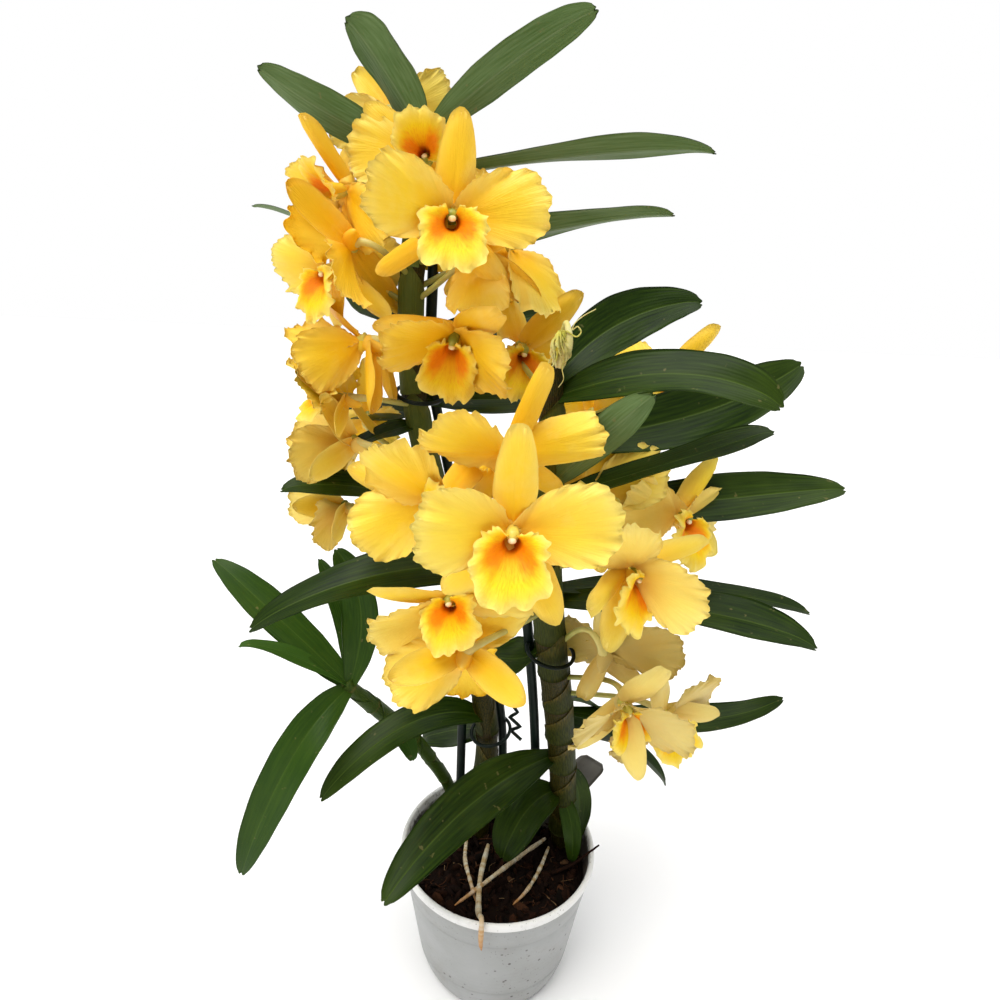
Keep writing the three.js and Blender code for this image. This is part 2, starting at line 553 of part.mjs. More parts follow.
const STAKE_RADIUS = 2.8;
const STAKES = [
  [[1, 29, 84], [-1, 27, 181], [-20, 25, 268], [-42, 20, 369], [-47, 17, 400], [-46, 14, 460]],
  [[27, 20, 84], [18, 5, 200], [6, -21, 300]],
  [[-26, 26, 84], [-26, 26, 190]],
];

const CLIP_WIRE = 1.1;
const CLIPS = [
  { middle: [-52.5, 14.5, 388], reach: 12.4, tilt: [0.25, 0.1] },
  { middle: [23, -15, 256], reach: 12.9, tilt: [0.2, 0.15] },
  { middle: [-7.5, 22, 176], reach: 12.4, tilt: [0.2, -0.2] },
];

const ZIGZAG = [[2.6, 27, 196], [9, 22, 190], [4, 24, 185], [11, 20, 181], [5, 23, 176], [12, 19, 172]];

const LABEL = { width: 20, thick: 0.9, height: 80, foot: [19, 28.5, 84], lean: 32 };

// ---- materials ----------------------------------------------------------------------------
const finish = (color, roughness) => new THREE.MeshStandardMaterial({ color, roughness, metalness: 0 });
const PETAL = finish(0xf3c552, 0.55);
const LEAF = finish(0x2c4418, 0.4);
const PLASTIC = finish(0xdfe2e2, 0.45);
const BARK = finish(0x2a190f, 0.95);
const ROOT = finish(0xcbb98a, 0.7);
const DARK_PLASTIC = finish(0x10261c, 0.5);
const GREY_LABEL = finish(0x8f8f8d, 0.6);
const WITHERED = finish(0xcfc478, 0.7);

// ---- putting the plant together -----------------------------------------------------------
const plant = new THREE.Group();

function addNode(name, solid, material) {
  const { vertProperties, triVerts } = solid.getMesh();
  const geometry = new THREE.BufferGeometry();
  geometry.setAttribute('position', new THREE.BufferAttribute(new Float32Array(vertProperties), 3));
  geometry.setIndex(new THREE.BufferAttribute(new Uint32Array(triVerts), 1));
  geometry.translate(0, 0, -UNDERSIDE);
  geometry.computeVertexNormals();
  const mesh = new THREE.Mesh(geometry, material);
  mesh.name = name;
  plant.add(mesh);
}

// Everything placed so far, grown by the gap, for later pieces to keep clear of.
const taken = [];

addNode('pot', potSolid(), PLASTIC);

const canes = Object.fromEntries(Object.entries(CANES).map(([name, cane]) => [name, caneSolid(cane)]));
Object.values(CANES).forEach((cane) => taken.push(caneSolid(cane, GAP)));

STAKES.forEach((places, k) => {
  const points = places.length > 2 ? curveThrough(places, 7) : places.map(at);
  const radii = points.map(() => STAKE_RADIUS);
  const body = largest(clearOf(stem(points, radii, 6), taken));
  addNode(`stake_${k + 1}`, body, DARK_PLASTIC);
  taken.push(stem(points, points.map(() => STAKE_RADIUS), 6, GAP));
});

const ringSolid = ({ middle, reach, tilt }, grow = 0) => {
  const ring = new THREE.TorusGeometry(reach, CLIP_WIRE + grow, 4, 12);
  ring.rotateX(tilt[0]).rotateY(tilt[1]).translate(...middle);
  return solidOf(ring);
};
CLIPS.forEach((clip, k) => {
  addNode(`clip_${k + 1}`, largest(clearOf(ringSolid(clip), taken)), DARK_PLASTIC);
  taken.push(ringSolid(clip, GAP));
});

const zigzag = (grow = 0) => stem(ZIGZAG.map(at), ZIGZAG.map(() => 1.1), 4, grow);
addNode('clip_teeth', largest(clearOf(zigzag(), taken)), DARK_PLASTIC);
taken.push(zigzag(GAP));

const labelSolid = (grow = 0) => {
  const { width, thick, height, foot, lean } = LABEL;
  const card = new THREE.BoxGeometry(width + 2 * grow, thick + 2 * grow, height + 2 * grow);
  card.translate(0, 0, height / 2).rotateY(rad(lean)).translate(...foot);
  return solidOf(card);
};
addNode('plant_label', labelSolid(), GREY_LABEL);
taken.push(labelSolid(GAP));

for (const [name, branches] of Object.entries(ROOTS)) {
  const grownRoot = (grow) => joined(branches.map((places, b) => {
    const points = curveThrough(places, 7);
    const radii = points.map((p, k) => ROOT_RADII[name][b] * ramp(ROOT_TAPER, k / 7));
    return stem(points, radii, 5, grow);
  }));
  addNode(name, largest(clearOf(grownRoot(0), taken)), ROOT);
  taken.push(grownRoot(GAP));
}

// The blooms nearest the front are placed first and keep their whole form.
const order = BLOOMS.map((bloom, k) => [bloom, k]).sort((a, b) => a[0][0][1] - b[0][0][1]);
for (const [bloom, k] of order) {
  const body = largest(clearOf(bloomSolid(bloom, k), taken));
  addNode(`bloom_${String(k + 1).padStart(2, '0')}`, body, PETAL);
  const grown = largest(clearOf(bloomSolid(bloom, k, GAP), taken.slice(0, Object.keys(CANES).length)));
  taken.push(grown, body);
}

const WITHERED_STALK = [[13, -50, 411.5], [16, -52, 430], [17, -56, 424], [14, -58, 412]];
const withered = (grow = 0) => stem(WITHERED_STALK.map(at), [1.1, 1.6, 3.4, 1.4], 5, grow);
addNode('withered_bloom', largest(clearOf(withered(), taken)), WITHERED);
taken.push(withered(GAP));

const roomForLeaves = taken.slice(Object.keys(CANES).length);
for (const name of Object.keys(CANES)) {
  const own = LEAVES.filter((leaf) => leaf[0] === name);
  const blades = own.map((leaf) => clearOf(leafSolid(leaf), roomForLeaves));
  addNode(`leafy_${name}`, largest(joined([canes[name], ...blades])), LEAF);
  own.forEach((leaf) => roomForLeaves.push(leafSolid(leaf, GAP)));
}

addNode('substrate', largest(clearOf(soilSolid(), [...taken, ...roomForLeaves])), BARK);

export default plant;
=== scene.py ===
# The looks of a potted dendrobium orchid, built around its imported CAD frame.
# Lengths in the tables are millimetres; -Y is the front. Everything is made in code.
import math

import bpy
import numpy as np
from mathutils import Matrix, Vector


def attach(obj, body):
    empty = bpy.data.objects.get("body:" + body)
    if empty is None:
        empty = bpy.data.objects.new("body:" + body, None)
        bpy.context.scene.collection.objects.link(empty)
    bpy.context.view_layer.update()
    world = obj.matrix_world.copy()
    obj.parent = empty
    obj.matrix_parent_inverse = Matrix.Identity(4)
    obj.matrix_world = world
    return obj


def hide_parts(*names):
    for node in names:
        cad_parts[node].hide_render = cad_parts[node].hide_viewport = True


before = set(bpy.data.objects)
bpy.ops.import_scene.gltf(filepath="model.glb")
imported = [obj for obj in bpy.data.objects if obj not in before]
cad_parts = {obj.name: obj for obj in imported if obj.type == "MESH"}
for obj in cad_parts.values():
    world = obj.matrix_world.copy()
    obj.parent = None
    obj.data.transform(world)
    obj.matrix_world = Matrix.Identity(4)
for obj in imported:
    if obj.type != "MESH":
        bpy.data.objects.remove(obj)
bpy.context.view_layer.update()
scene = bpy.context.scene

MM = 0.001
WHITE = (255, 255, 255)


# ---- nodes ------------------------------------------------------------------------------------
MIX_SHARE, MIX_ONE, MIX_OTHER, MIX_RESULT = 0, 6, 7, 2     # the sockets of a mix node for colours


def linear(colour):
    shares = [c / 255 for c in colour]
    return tuple(s / 12.92 if s <= 0.04045 else ((s + 0.055) / 1.055) ** 2.4 for s in shares) + (1,)


class Signal:
    """What comes out of a node: a number or a colour at each point, with plain arithmetic."""

    def __init__(self, nodes, socket):
        self.nodes, self.socket = nodes, socket

    def math(self, operation, other=0.0, clamp=False):
        return self.nodes.made("ShaderNodeMath", 0, {0: self, 1: other}, operation=operation, use_clamp=clamp)

    def __mul__(self, other):
        return self.math("MULTIPLY", other)

    def __add__(self, other):
        return self.math("ADD", other)

    def __pow__(self, power):
        return self.math("POWER", power)

    def __abs__(self):
        return self.math("ABSOLUTE")

    def rest(self):
        """What is left of one, and never less than nothing."""
        return (self * -1.0).math("ADD", 1.0, True)

    def wave(self, rate):
        return (self * rate).math("SINE")

    def span(self, low, high, out_low=0.0, out_high=1.0):
        """From out_low at low to out_high at high, and no further."""
        given = {"Value": self, "From Min": low, "From Max": high, "To Min": out_low, "To Max": out_high}
        return self.nodes.made("ShaderNodeMapRange", "Result", given)

    def tint(self, colour, share):
        """This colour with another one over it."""
        return self.nodes.mix(share, self, colour)

    def fleck(self, colour, scale, low, high, strength=1.0, detail=3.0, rough=0.55):
        """This colour with another one over it where a noise is high."""
        return self.tint(colour, self.nodes.noise(scale, (), detail, rough).span(low, high, 0.0, strength))


class Nodes:
    """A node tree that is built one small step at a time."""

    def __init__(self, owner):
        owner.use_nodes = True
        self.tree = owner.node_tree

    def put(self, socket, value):
        if isinstance(value, Signal):
            self.tree.links.new(value.socket, socket)
        elif isinstance(value, tuple):
            socket.default_value = linear(value)
        else:
            socket.default_value = value

    def made(self, kind, output, given, **settings):
        """One output of a new node, with what is given to its inputs."""
        node = self.tree.nodes.new(kind)
        for label, value in settings.items():
            setattr(node, label, value)
        for label, value in given.items():
            self.put(node.inputs[label], value)
        return Signal(self, node.outputs[output])

    def part(self, label, vector):
        return self.made("ShaderNodeSeparateXYZ", label, {0: vector})


# ---- camera and light -------------------------------------------------------------------------
IMAGE = 1000                      # pixels, square
FOCAL = 660                       # focal length in pixels
PITCH, ROLL = math.radians(17.5), math.radians(2.5)
EYE = (-0.008, -0.333, 0.417)
SENSOR = 36.0
LOW_GLOW, HIGH_GLOW, SIDE_GLOW = 0.14, 0.5, 0.28


def make_camera():
    forward = np.array([0, math.cos(PITCH), -math.sin(PITCH)])
    upward = np.array([0, math.sin(PITCH), math.cos(PITCH)])
    across = np.array([1.0, 0, 0])
    right = across * math.cos(ROLL) + upward * math.sin(ROLL)
    top = -across * math.sin(ROLL) + upward * math.cos(ROLL)
    data = bpy.data.cameras.new("view")
    data.sensor_width = SENSOR
    data.lens = FOCAL / IMAGE * SENSOR
    data.clip_start = 0.01
    camera = bpy.data.objects.new("view", data)
    scene.collection.objects.link(camera)
    turn = np.eye(4)
    turn[:3, 0], turn[:3, 1], turn[:3, 2], turn[:3, 3] = right, top, -forward, EYE
    camera.matrix_world = Matrix(turn.tolist())
    scene.camera = camera


def sun(name, towards, degrees, strength, colour=WHITE):
    """A wide soft light from one direction."""
    data = bpy.data.lights.new(name, "SUN")
    data.angle = math.radians(degrees)
    data.energy = strength
    data.color = [c / 255 for c in colour]
    lamp = bpy.data.objects.new(name, data)
    scene.collection.objects.link(lamp)
    lamp.matrix_world = Vector(towards).to_track_quat("Z", "Y").to_matrix().to_4x4()


def make_world():
    """White to look at. As a light it is brightest overhead and at the two sides."""
    world = bpy.data.worlds.new("studio")
    nodes = Nodes(world)
    way = nodes.made("ShaderNodeTexCoord", "Generated", {})
    glow = abs(nodes.part("X", way)) * SIDE_GLOW + nodes.part("Z", way).span(0.0, 1.0, LOW_GLOW, HIGH_GLOW)
    soft = nodes.made("ShaderNodeBackground", 0, {"Color": WHITE, "Strength": glow})
    plain = nodes.made("ShaderNodeBackground", 0, {"Color": WHITE, "Strength": 1.0})
    seen = nodes.made("ShaderNodeLightPath", "Is Camera Ray", {})
    either = nodes.made("ShaderNodeMixShader", 0, {0: seen, 1: soft, 2: plain})
    nodes.put(nodes.tree.nodes["World Output"].inputs["Surface"], either)
    scene.world = world


scene.view_settings.view_transform = "Standard"
make_camera()
sun("key", (-0.5, -0.5, 1.3), 40, 2.0, (255, 250, 242))
sun("sky", (0.1, 0.1, 1.0), 65, 1.6)
make_world()


# ---- materials --------------------------------------------------------------------------------
class Look(Nodes):
    """A node material."""

    def __init__(self, name, roughness, **sockets):
        self.material = bpy.data.materials.new(name)
        super().__init__(self.material)
        self.shader = self.tree.nodes["Principled BSDF"].inputs
        self.shader["Roughness"].default_value = roughness
        for label, value in sockets.items():
            self.shader[label.replace("_", " ")].default_value = value
        self.place = self.made("ShaderNodeTexCoord", "Object", {})

    def value(self, label):
        return self.made("ShaderNodeAttribute", "Fac", {}, attribute_name=label)

    def values(self, *labels):
        return [self.value(label) for label in labels]

    def axis(self, label):
        """How far along one axis of the object a point lies, in metres."""
        return self.part(label, self.place)

    def noise(self, scale, where=(), detail=3.0, rough=0.55):
        """Noise over the object, or over two or three signals that draw it out."""
        place = self.made("ShaderNodeCombineXYZ", 0, dict(enumerate(where))) if where else self.place
        given = {"Vector": place, "Scale": scale, "Detail": detail, "Roughness": rough}
        return self.made("ShaderNodeTexNoise", "Fac", given)

    def cells(self, scale, low, high):
        """Round dots: one inside low and nothing outside high, measured in cells."""
        found = self.made("ShaderNodeTexVoronoi", "Distance", {"Vector": self.place, "Scale": scale})
        return found.span(high, low)

    def mix(self, share, one, other):
        given = {MIX_SHARE: share, MIX_ONE: one, MIX_OTHER: other}
        return self.made("ShaderNodeMix", MIX_RESULT, given, data_type="RGBA")

    def ramp(self, signal, stops):
        made = self.made("ShaderNodeValToRGB", "Color", {"Fac": signal})
        band = made.socket.node.color_ramp.elements
        while len(band) < len(stops):
            band.new(0.5)
        for element, (where, colour) in zip(band, stops):
            element.position = where
            element.color = linear(colour)
        return made

    def finish(self, colour, height=None, strength=0.0, distance=0.0):
        """Gives the shader its colour and its relief, and returns the material."""
        self.put(self.shader["Base Color"], colour)
        if height:
            given = {"Strength": strength, "Distance": distance, "Height": height}
            self.put(self.shader["Normal"], self.made("ShaderNodeBump", "Normal", given))
        return self.material


def petal_look():
    look = Look("petal_tissue", 0.5, Subsurface_Weight=0.1, Subsurface_Scale=0.003,
                Subsurface_Radius=(1.0, 0.7, 0.25), Specular_IOR_Level=0.3)
    along, across, vein, tone = look.values("along", "across", "vein", "tone")
    body = look.ramp(along, [(0.0, (253, 178, 0)), (0.25, (253, 199, 8)), (0.55, (253, 212, 38)),
                             (0.8, (254, 220, 66)), (1.0, (255, 230, 104))])
    body = body.tint((255, 233, 126), abs(across) ** 2.5 * 0.6)
    body = body.tint((232, 210, 128), tone.math("MAXIMUM") * 0.8)
    # Painted shade: blooms toned above one are darkened towards khaki for the shadow they hang in.
    body = body.tint((190, 162, 88), tone.span(1.0, 2.0))
    body = body.tint((250, 188, 4), tone.math("MINIMUM") * -0.8)
    veins = look.noise(16.0, (vein * 3.2, along * 0.25), 2.0).span(0.38, 0.62)
    cloud = look.noise(60.0, detail=4.0)
    body = body.tint((236, 160, 24), veins * 0.06)
    body = body.tint((240, 174, 30), cloud.span(0.45, 0.75) * 0.22)
    body = body.fleck((255, 234, 140), 38.0, 0.52, 0.74, 0.3, 5.0, 0.6)
    fine = look.noise(420.0, detail=2.0)
    return look.finish(body, veins * 0.6 + fine * 0.5 + cloud * 1.6, 0.3, 0.0008)


def lip_look():
    look = Look("lip_tissue", 0.5, Subsurface_Weight=0.06, Subsurface_Scale=0.002,
                Subsurface_Radius=(1.0, 0.55, 0.12), Specular_IOR_Level=0.2)
    along, across, side, tone = look.values("along", "across", "side", "tone")
    body = look.ramp(along, [(0.0, (176, 88, 4)), (0.28, (222, 124, 6)), (0.42, (253, 184, 10)),
                             (0.7, (255, 216, 24)), (0.84, (254, 216, 66)), (1.0, (255, 230, 118))])
    flank = abs(abs(across).span(0.12, 0.72, -1.0, 1.0)).rest() ** 0.7
    reach = along.span(0.86, 0.5)
    wander = look.noise(5.0, (across * 4.0, along))
    body = body.tint((253, 142, 0), (flank * reach + wander * 0.5).span(0.36, 0.82) * 0.92)
    lines = look.noise(9.0, (across * 9.0, along), 1.0).span(0.5, 0.66)
    body = body.tint((232, 92, 0), lines * reach * 0.35)
    back = look.mix(tone * 0.3, (254, 212, 52), (250, 222, 120))
    return look.finish(look.mix(side, back, body), lines + look.noise(380.0, detail=2.0), 0.35, 0.0006)


def column_look():
    look = Look("column_tissue", 0.4, Subsurface_Weight=0.1, Subsurface_Scale=0.002)
    body = look.mix(look.value("tone"), (118, 136, 36), (232, 214, 96))
    body = body.fleck((222, 204, 70), 300.0, 0.35, 0.7, 0.5)
    return look.finish(body, look.noise(700.0), 0.2, 0.0004)


def cap_look():
    look = Look("anther_cap", 0.45)
    body = look.mix(look.noise(500.0).span(0.4, 0.7), (253, 244, 196), (248, 224, 130))
    return look.finish(body, look.noise(900.0), 0.2, 0.0003)


def stalk_look():
    look = Look("stalk_skin", 0.45, Subsurface_Weight=0.08, Subsurface_Scale=0.002)
    stops = [(0.0, (112, 122, 42)), (0.45, (182, 178, 92)), (1.0, (228, 212, 128))]
    body = look.ramp(look.value("along"), stops).fleck((150, 132, 52), 140.0, 0.45, 0.75, 0.4)
    return look.finish(body, look.noise(500.0), 0.25, 0.0004)


def leaf_look(name, dark, light, streak, roughness):
    look = Look(name, roughness, Specular_IOR_Level=0.11)
    across, along, tone = look.values("across", "along", "tone")
    strips = look.noise(5.0, (across * 2.0, along * 0.35, tone), 2.0)
    patch = look.noise(22.0, detail=2.0)
    groove = abs(across).rest() ** 30.0
    body = look.mix(strips.span(0.3, 0.75), dark, light)
    body = body.tint(streak, patch.span(0.45, 0.8) * 0.3)
    body = body.tint(streak, groove * 0.55)
    body = body.tint((61, 96, 30), tone.span(0.0, 1.0) * 0.75)
    body = body.fleck((120, 112, 70), 240.0, 0.69, 0.75, 0.45, 2.0)
    return look.finish(body, across.wave(44.0) * 0.12 + groove * -1.6 + patch * 0.8, 0.25, 0.0006)


def young_look():
    look = Look("young_cane_skin", 0.5, Specular_IOR_Level=0.15)
    around, along, mark = look.values("across", "along", "mark")
    strips = look.noise(7.0, (around * 5.0, along * 4.0))
    body = look.ramp(strips, [(0.3, (26, 44, 4)), (0.5, (50, 72, 12)), (0.75, (82, 96, 30))])
    body = body.tint((104, 92, 44), mark * 0.6)
    return look.finish(body, around.wave(90.0) * 0.3 + strips, 0.35, 0.0005)


def cane_look():
    look = Look("cane_skin", 0.5, Specular_IOR_Level=0.15)
    around, along, mark, tone = look.values("across", "along", "mark", "tone")
    strips = look.noise(7.0, (around * 5.0, along * 9.0, tone), 4.0)
    body = look.ramp(strips, [(0.3, (18, 22, 2)), (0.48, (42, 42, 6)), (0.6, (66, 56, 12)),
                              (0.75, (30, 20, 6))])
    body = body.tint((46, 30, 10), mark * 0.75)
    return look.finish(body, around.wave(100.0) * 0.3 + strips, 0.5, 0.0006)


def sheath_look():
    """Streaked, dry towards its edge, and greener higher up the cane."""
    look = Look("leaf_sheath", 0.55, Specular_IOR_Level=0.12)
    around, along, tone = look.values("across", "along", "tone")
    strips = look.noise(8.0, (around * 6.0, along * 0.6, tone), 4.0)
    streaks = strips.span(0.35, 0.65)
    body = look.mix(streaks, (26, 34, 4), (58, 62, 12))
    body = body.tint((112, 88, 36), along.span(0.6, 1.0) * streaks * 0.6)
    body = body.tint((92, 108, 44), look.axis("Z").span(0.216, 0.396, 0.0, 0.6))
    return look.finish(body, around.wave(90.0) * 0.3 + strips, 0.35, 0.0005)


LIT_RIM_STARTS = (0.0815, 0.0835)     # metres over which the side turns into the rim, painted paler as painted light from above
WALL_TAPER = 0.1532               # how much wider the pot's wall is for each metre of height
INNER_AT_FOOT = (0.0455, 0.0451)  # radii between the wall's two faces, carried down to the foot


def pot_look():
    """Greyish white, with splashes of dirt outside and bark dust on the wall inside. The side's grey is
    partly painted shade, and the paler rim is painted light.
    """
    look = Look("pot_plastic_white", 0.45)
    high = look.axis("Z")
    body = look.mix(look.noise(26.0, detail=5.0).span(0.35, 0.75), (162, 164, 164), (146, 148, 146))
    # Painted light: the rim is painted paler where the light from above falls on it.
    body = body.tint((232, 232, 230), high.span(*LIT_RIM_STARTS))
    splashed = look.noise(15.0, detail=2.0).span(0.45, 0.52)
    body = body.tint((44, 34, 26), look.cells(170.0, 0.1, 0.18) * splashed * 0.9)
    sprayed = look.noise(24.0).span(0.45, 0.6)
    body = body.tint((70, 60, 48), look.cells(420.0, 0.1, 0.17) * sprayed * 0.6)
    body = body.fleck((118, 108, 90), 45.0, 0.56, 0.78, 0.28, 6.0, 0.7)
    foot = high.span(0.03, 0.0) * look.noise(60.0, detail=4.0).span(0.4, 0.7)
    body = body.tint((96, 84, 66), foot * 0.3)
    radius = (look.axis("X") ** 2.0 + look.axis("Y") ** 2.0).math("SQRT")
    inside = (radius + high * -WALL_TAPER).span(*INNER_AT_FOOT) * high.span(0.055, 0.065)
    near_bark = high.span(0.088, 0.076) * 0.24
    dust = (look.noise(150.0, detail=5.0, rough=0.7) + near_bark).span(0.55, 0.66)
    body = body.tint((58, 42, 28), dust * inside * 0.85)
    return look.finish(body, high.wave(1900.0) * 0.25 + look.noise(260.0, detail=2.0), 0.14, 0.0004)


def bark_look():
    look = Look("bark_bits", 0.95, Specular_IOR_Level=0.12)
    # Very dark bark: partly its own colour, and partly darkened further as painted shade for the shadow it
    # lies in.
    body = look.ramp(look.value("tone"), [(0.0, (12, 7, 4)), (0.4, (28, 15, 9)), (0.7, (48, 26, 15)),
                                          (0.9, (84, 52, 32)), (1.0, (150, 122, 88))])
    grain = look.noise(420.0, detail=5.0, rough=0.7)
    body = body.tint((20, 12, 8), grain.span(0.4, 0.7) * 0.55)
    return look.finish(body, grain, 0.8, 0.0012)


def root_look():
    look = Look("root_skin", 0.65)
    along, tone = look.values("along", "tone")
    patch = look.noise(9.0, (along * 2.0, tone), 4.0)
    body = look.ramp(patch, [(0.32, (150, 112, 66)), (0.44, (192, 164, 116)), (0.58, (216, 208, 186)),
                             (0.8, (160, 150, 124))])
    body = body.tint((176, 118, 58), along.span(0.62, 1.0))
    body = body.fleck((112, 76, 40), 320.0, 0.6, 0.72, 0.5, 4.0)
    return look.finish(body, look.noise(500.0), 0.5, 0.0006)


def wire_look():
    look = Look("dark_plastic_coat", 0.45, Specular_IOR_Level=0.2)
    body = look.mix(look.noise(90.0, detail=4.0).span(0.4, 0.7), (4, 16, 11), (12, 30, 22))
    return look.finish(body, look.noise(420.0), 0.25, 0.0004)


def card_look():
    look = Look("label_card", 0.55)
    body = look.mix(look.noise(50.0, detail=4.0).span(0.35, 0.7), (78, 74, 66), (100, 96, 88))
    return look.finish(body.fleck((58, 50, 38), 260.0, 0.66, 0.74, 0.5), look.noise(600.0), 0.15, 0.0003)


def dry_look():
    """Straw with a yellow-green heart."""
    look = Look("dry_bloom", 0.7, Subsurface_Weight=0.1, Subsurface_Scale=0.002)
    body = look.mix(look.noise(110.0, detail=4.0).span(0.35, 0.7), (206, 190, 92), (232, 222, 168))
    body = body.tint((196, 190, 34), look.value("along").span(0.75, 0.1) * 0.75)
    return look.finish(body.fleck((150, 136, 60), 240.0, 0.55, 0.7, 0.6), look.noise(420.0), 0.6, 0.0008)


def floor_look():
    look = Look("studio_floor", 0.7)
    body = look.mix(look.noise(3.0).span(0.3, 0.7), (246, 246, 246), (250, 250, 250))
    return look.finish(body)


LOOKS = {
    "petal": petal_look(), "lip": lip_look(), "column": column_look(), "cap": cap_look(),
    "stalk": stalk_look(), "cane": cane_look(), "young": young_look(), "sheath": sheath_look(),
    "leaf": leaf_look("leaf_upper", (16, 34, 3), (43, 63, 8), (84, 106, 36), 0.38),
    "under": leaf_look("leaf_under", (72, 96, 44), (98, 120, 74), (124, 140, 98), 0.5),
    "pot": pot_look(), "bark": bark_look(), "root": root_look(), "wire": wire_look(),
    "card": card_look(), "dry": dry_look(), "floor": floor_look(),
}


# ---- mesh making ------------------------------------------------------------------------------
VALUES = ("along", "across", "vein", "side", "tone", "mark")
UNDERSIDE = 24     # all heights are told from this far under the pot, and moved down by it in the mesh
CURVE_STEPS, CURVE_ROUNDING = 401, 21


class Piece:
    """Collects points, faces, a look for each face and named values for each point."""

    def __init__(self):
        self.points, self.faces, self.face_looks, self.looks = [], [], [], []
        self.values = {name: [] for name in VALUES}
        self.count = 0

    def add(self, points, faces, look, **values):
        points = np.asarray(points, float).reshape(-1, 3)
        self.points.append(points)
        if look not in self.looks:
            self.looks.append(look)
        self.faces += [tuple(int(i) + self.count for i in face) for face in faces]
        self.face_looks += [self.looks.index(look)] * len(faces)
        for name in VALUES:
            given = np.ravel(values.get(name, 0.0))
            self.values[name].append(np.broadcast_to(given, (len(points),)))
        self.count += len(points)

    def mesh(self, name):
        mesh = bpy.data.meshes.new(name)
        points = (np.concatenate(self.points) - [0, 0, UNDERSIDE]) * MM
        mesh.from_pydata(points.tolist(), [], self.faces)
        return mesh

    def make(self, name, nodes):
        mesh = self.mesh(name)
        for label, parts in self.values.items():
            held = mesh.attributes.new(label, "FLOAT", "POINT")
            held.data.foreach_set("value", np.concatenate(parts).astype(np.float32))
        for look in self.looks:
            mesh.materials.append(LOOKS[look])
        mesh.polygons.foreach_set("material_index", self.face_looks)
        mesh.polygons.foreach_set("use_smooth", [True] * len(self.faces))
        mesh.update()
        made = bpy.data.objects.new(name, mesh)
        scene.collection.objects.link(made)
        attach(made, "root")
        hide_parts(*nodes)
        return made


def grid_faces(rows, columns, wrap=False, start=0, flip=False):
    faces = []
    for i in range(rows - 1):
        for j in range(columns if wrap else columns - 1):
            a, b = start + i * columns + j, start + i * columns + (j + 1) % columns
            quad = (a, b, b + columns, a + columns)
            faces.append(quad[::-1] if flip else quad)
    return faces


def closed_rings(rings, sides, flip=False):
    """Faces over rings of points that stand between one first and one last middle point."""
    faces = grid_faces(rings, sides, wrap=True, start=1, flip=flip)
    outer, last = 1 + (rings - 1) * sides, 1 + rings * sides
    for s in range(sides):
        n = (s + 1) % sides
        a, b = (s, n) if flip else (n, s)
        faces.append((0, 1 + a, 1 + b))
        faces.append((last, outer + b, outer + a))
    return faces


def turns(sides):
    """Even angles round a circle."""
    return np.arange(sides) * 2 * math.pi / sides


def ring(radius, height, sides):
    """Points round an upright axis. The height may differ from point to point."""
    turn = turns(sides)
    return np.stack([radius * np.cos(turn), radius * np.sin(turn), height + 0 * turn], -1)


def unit(v):
    return v / np.maximum(np.linalg.norm(v, axis=-1, keepdims=True), 1e-9)


def turned(v, axis, angle):
    """v turned about the axis, one row each."""
    cos, sin = np.cos(angle), np.sin(angle)
    dot = np.sum(axis * v, axis=-1, keepdims=True)
    return v * cos + np.cross(axis, v) * sin + axis * dot * (1 - cos)


def shell(piece, grid, thick, looks, **values):
    """A closed thin sheet over a grid of middle points, with a look for its front and its back."""
    rows, columns = grid.shape[:2]
    size = rows * columns
    normal = unit(np.cross(np.gradient(grid, axis=1), np.gradient(grid, axis=0)))
    half = np.broadcast_to(np.asarray(thick, float) / 2, (rows, columns))[..., None]
    index = np.arange(size).reshape(rows, columns) + piece.count
    piece.add(grid + normal * half, grid_faces(rows, columns), looks[0], side=1.0, **values)
    piece.add(grid - normal * half, grid_faces(rows, columns, flip=True), looks[1], side=0.0, **values)
    edge = [index[:, 0], index[-1, 1:], index[-2::-1, -1], index[0, -2:0:-1]]
    edge = np.concatenate(edge).tolist()
    piece.faces += [(a + size, b + size, b, a) for a, b in zip(edge, edge[1:] + edge[:1])]
    piece.face_looks += [piece.looks.index(looks[0])] * len(edge)


def catmull(places, count):
    """Points along a centripetal curve through the places."""
    p = np.asarray(places, float)
    p = np.vstack([2 * p[0] - p[1], p, 2 * p[-1] - p[-2]])
    knot = np.concatenate([[0], np.cumsum(np.linalg.norm(np.diff(p, axis=0), axis=1) ** 0.5)])
    out = []
    for t in np.linspace(knot[1], knot[-2], count):
        k = min(max(np.searchsorted(knot, t, side="right") - 1, 1), len(p) - 3)
        a, b, c, d = knot[k - 1:k + 3]
        one = ((b - t) * p[k - 1] + (t - a) * p[k]) / (b - a)
        two = ((c - t) * p[k] + (t - b) * p[k + 1]) / (c - b)
        three = ((d - t) * p[k + 1] + (t - c) * p[k + 2]) / (d - c)
        left = ((c - t) * one + (t - a) * two) / (c - a)
        right = ((d - t) * two + (t - b) * three) / (d - b)
        out.append(((c - t) * left + (t - b) * right) / (c - b))
    return np.array(out)


def frames(line):
    """Two cross directions at each point of a line, carried along it without twisting."""
    along = unit(np.gradient(line, axis=0))
    side = np.zeros_like(line)
    hint = np.array([1.0, 0, 0]) if abs(along[0][2]) > 0.9 else np.array([0, 0, 1.0])
    for k, t in enumerate(along):
        hint = hint - hint.dot(t) * t
        hint = hint / np.linalg.norm(hint)
        side[k] = hint
    return side, np.cross(along, side)


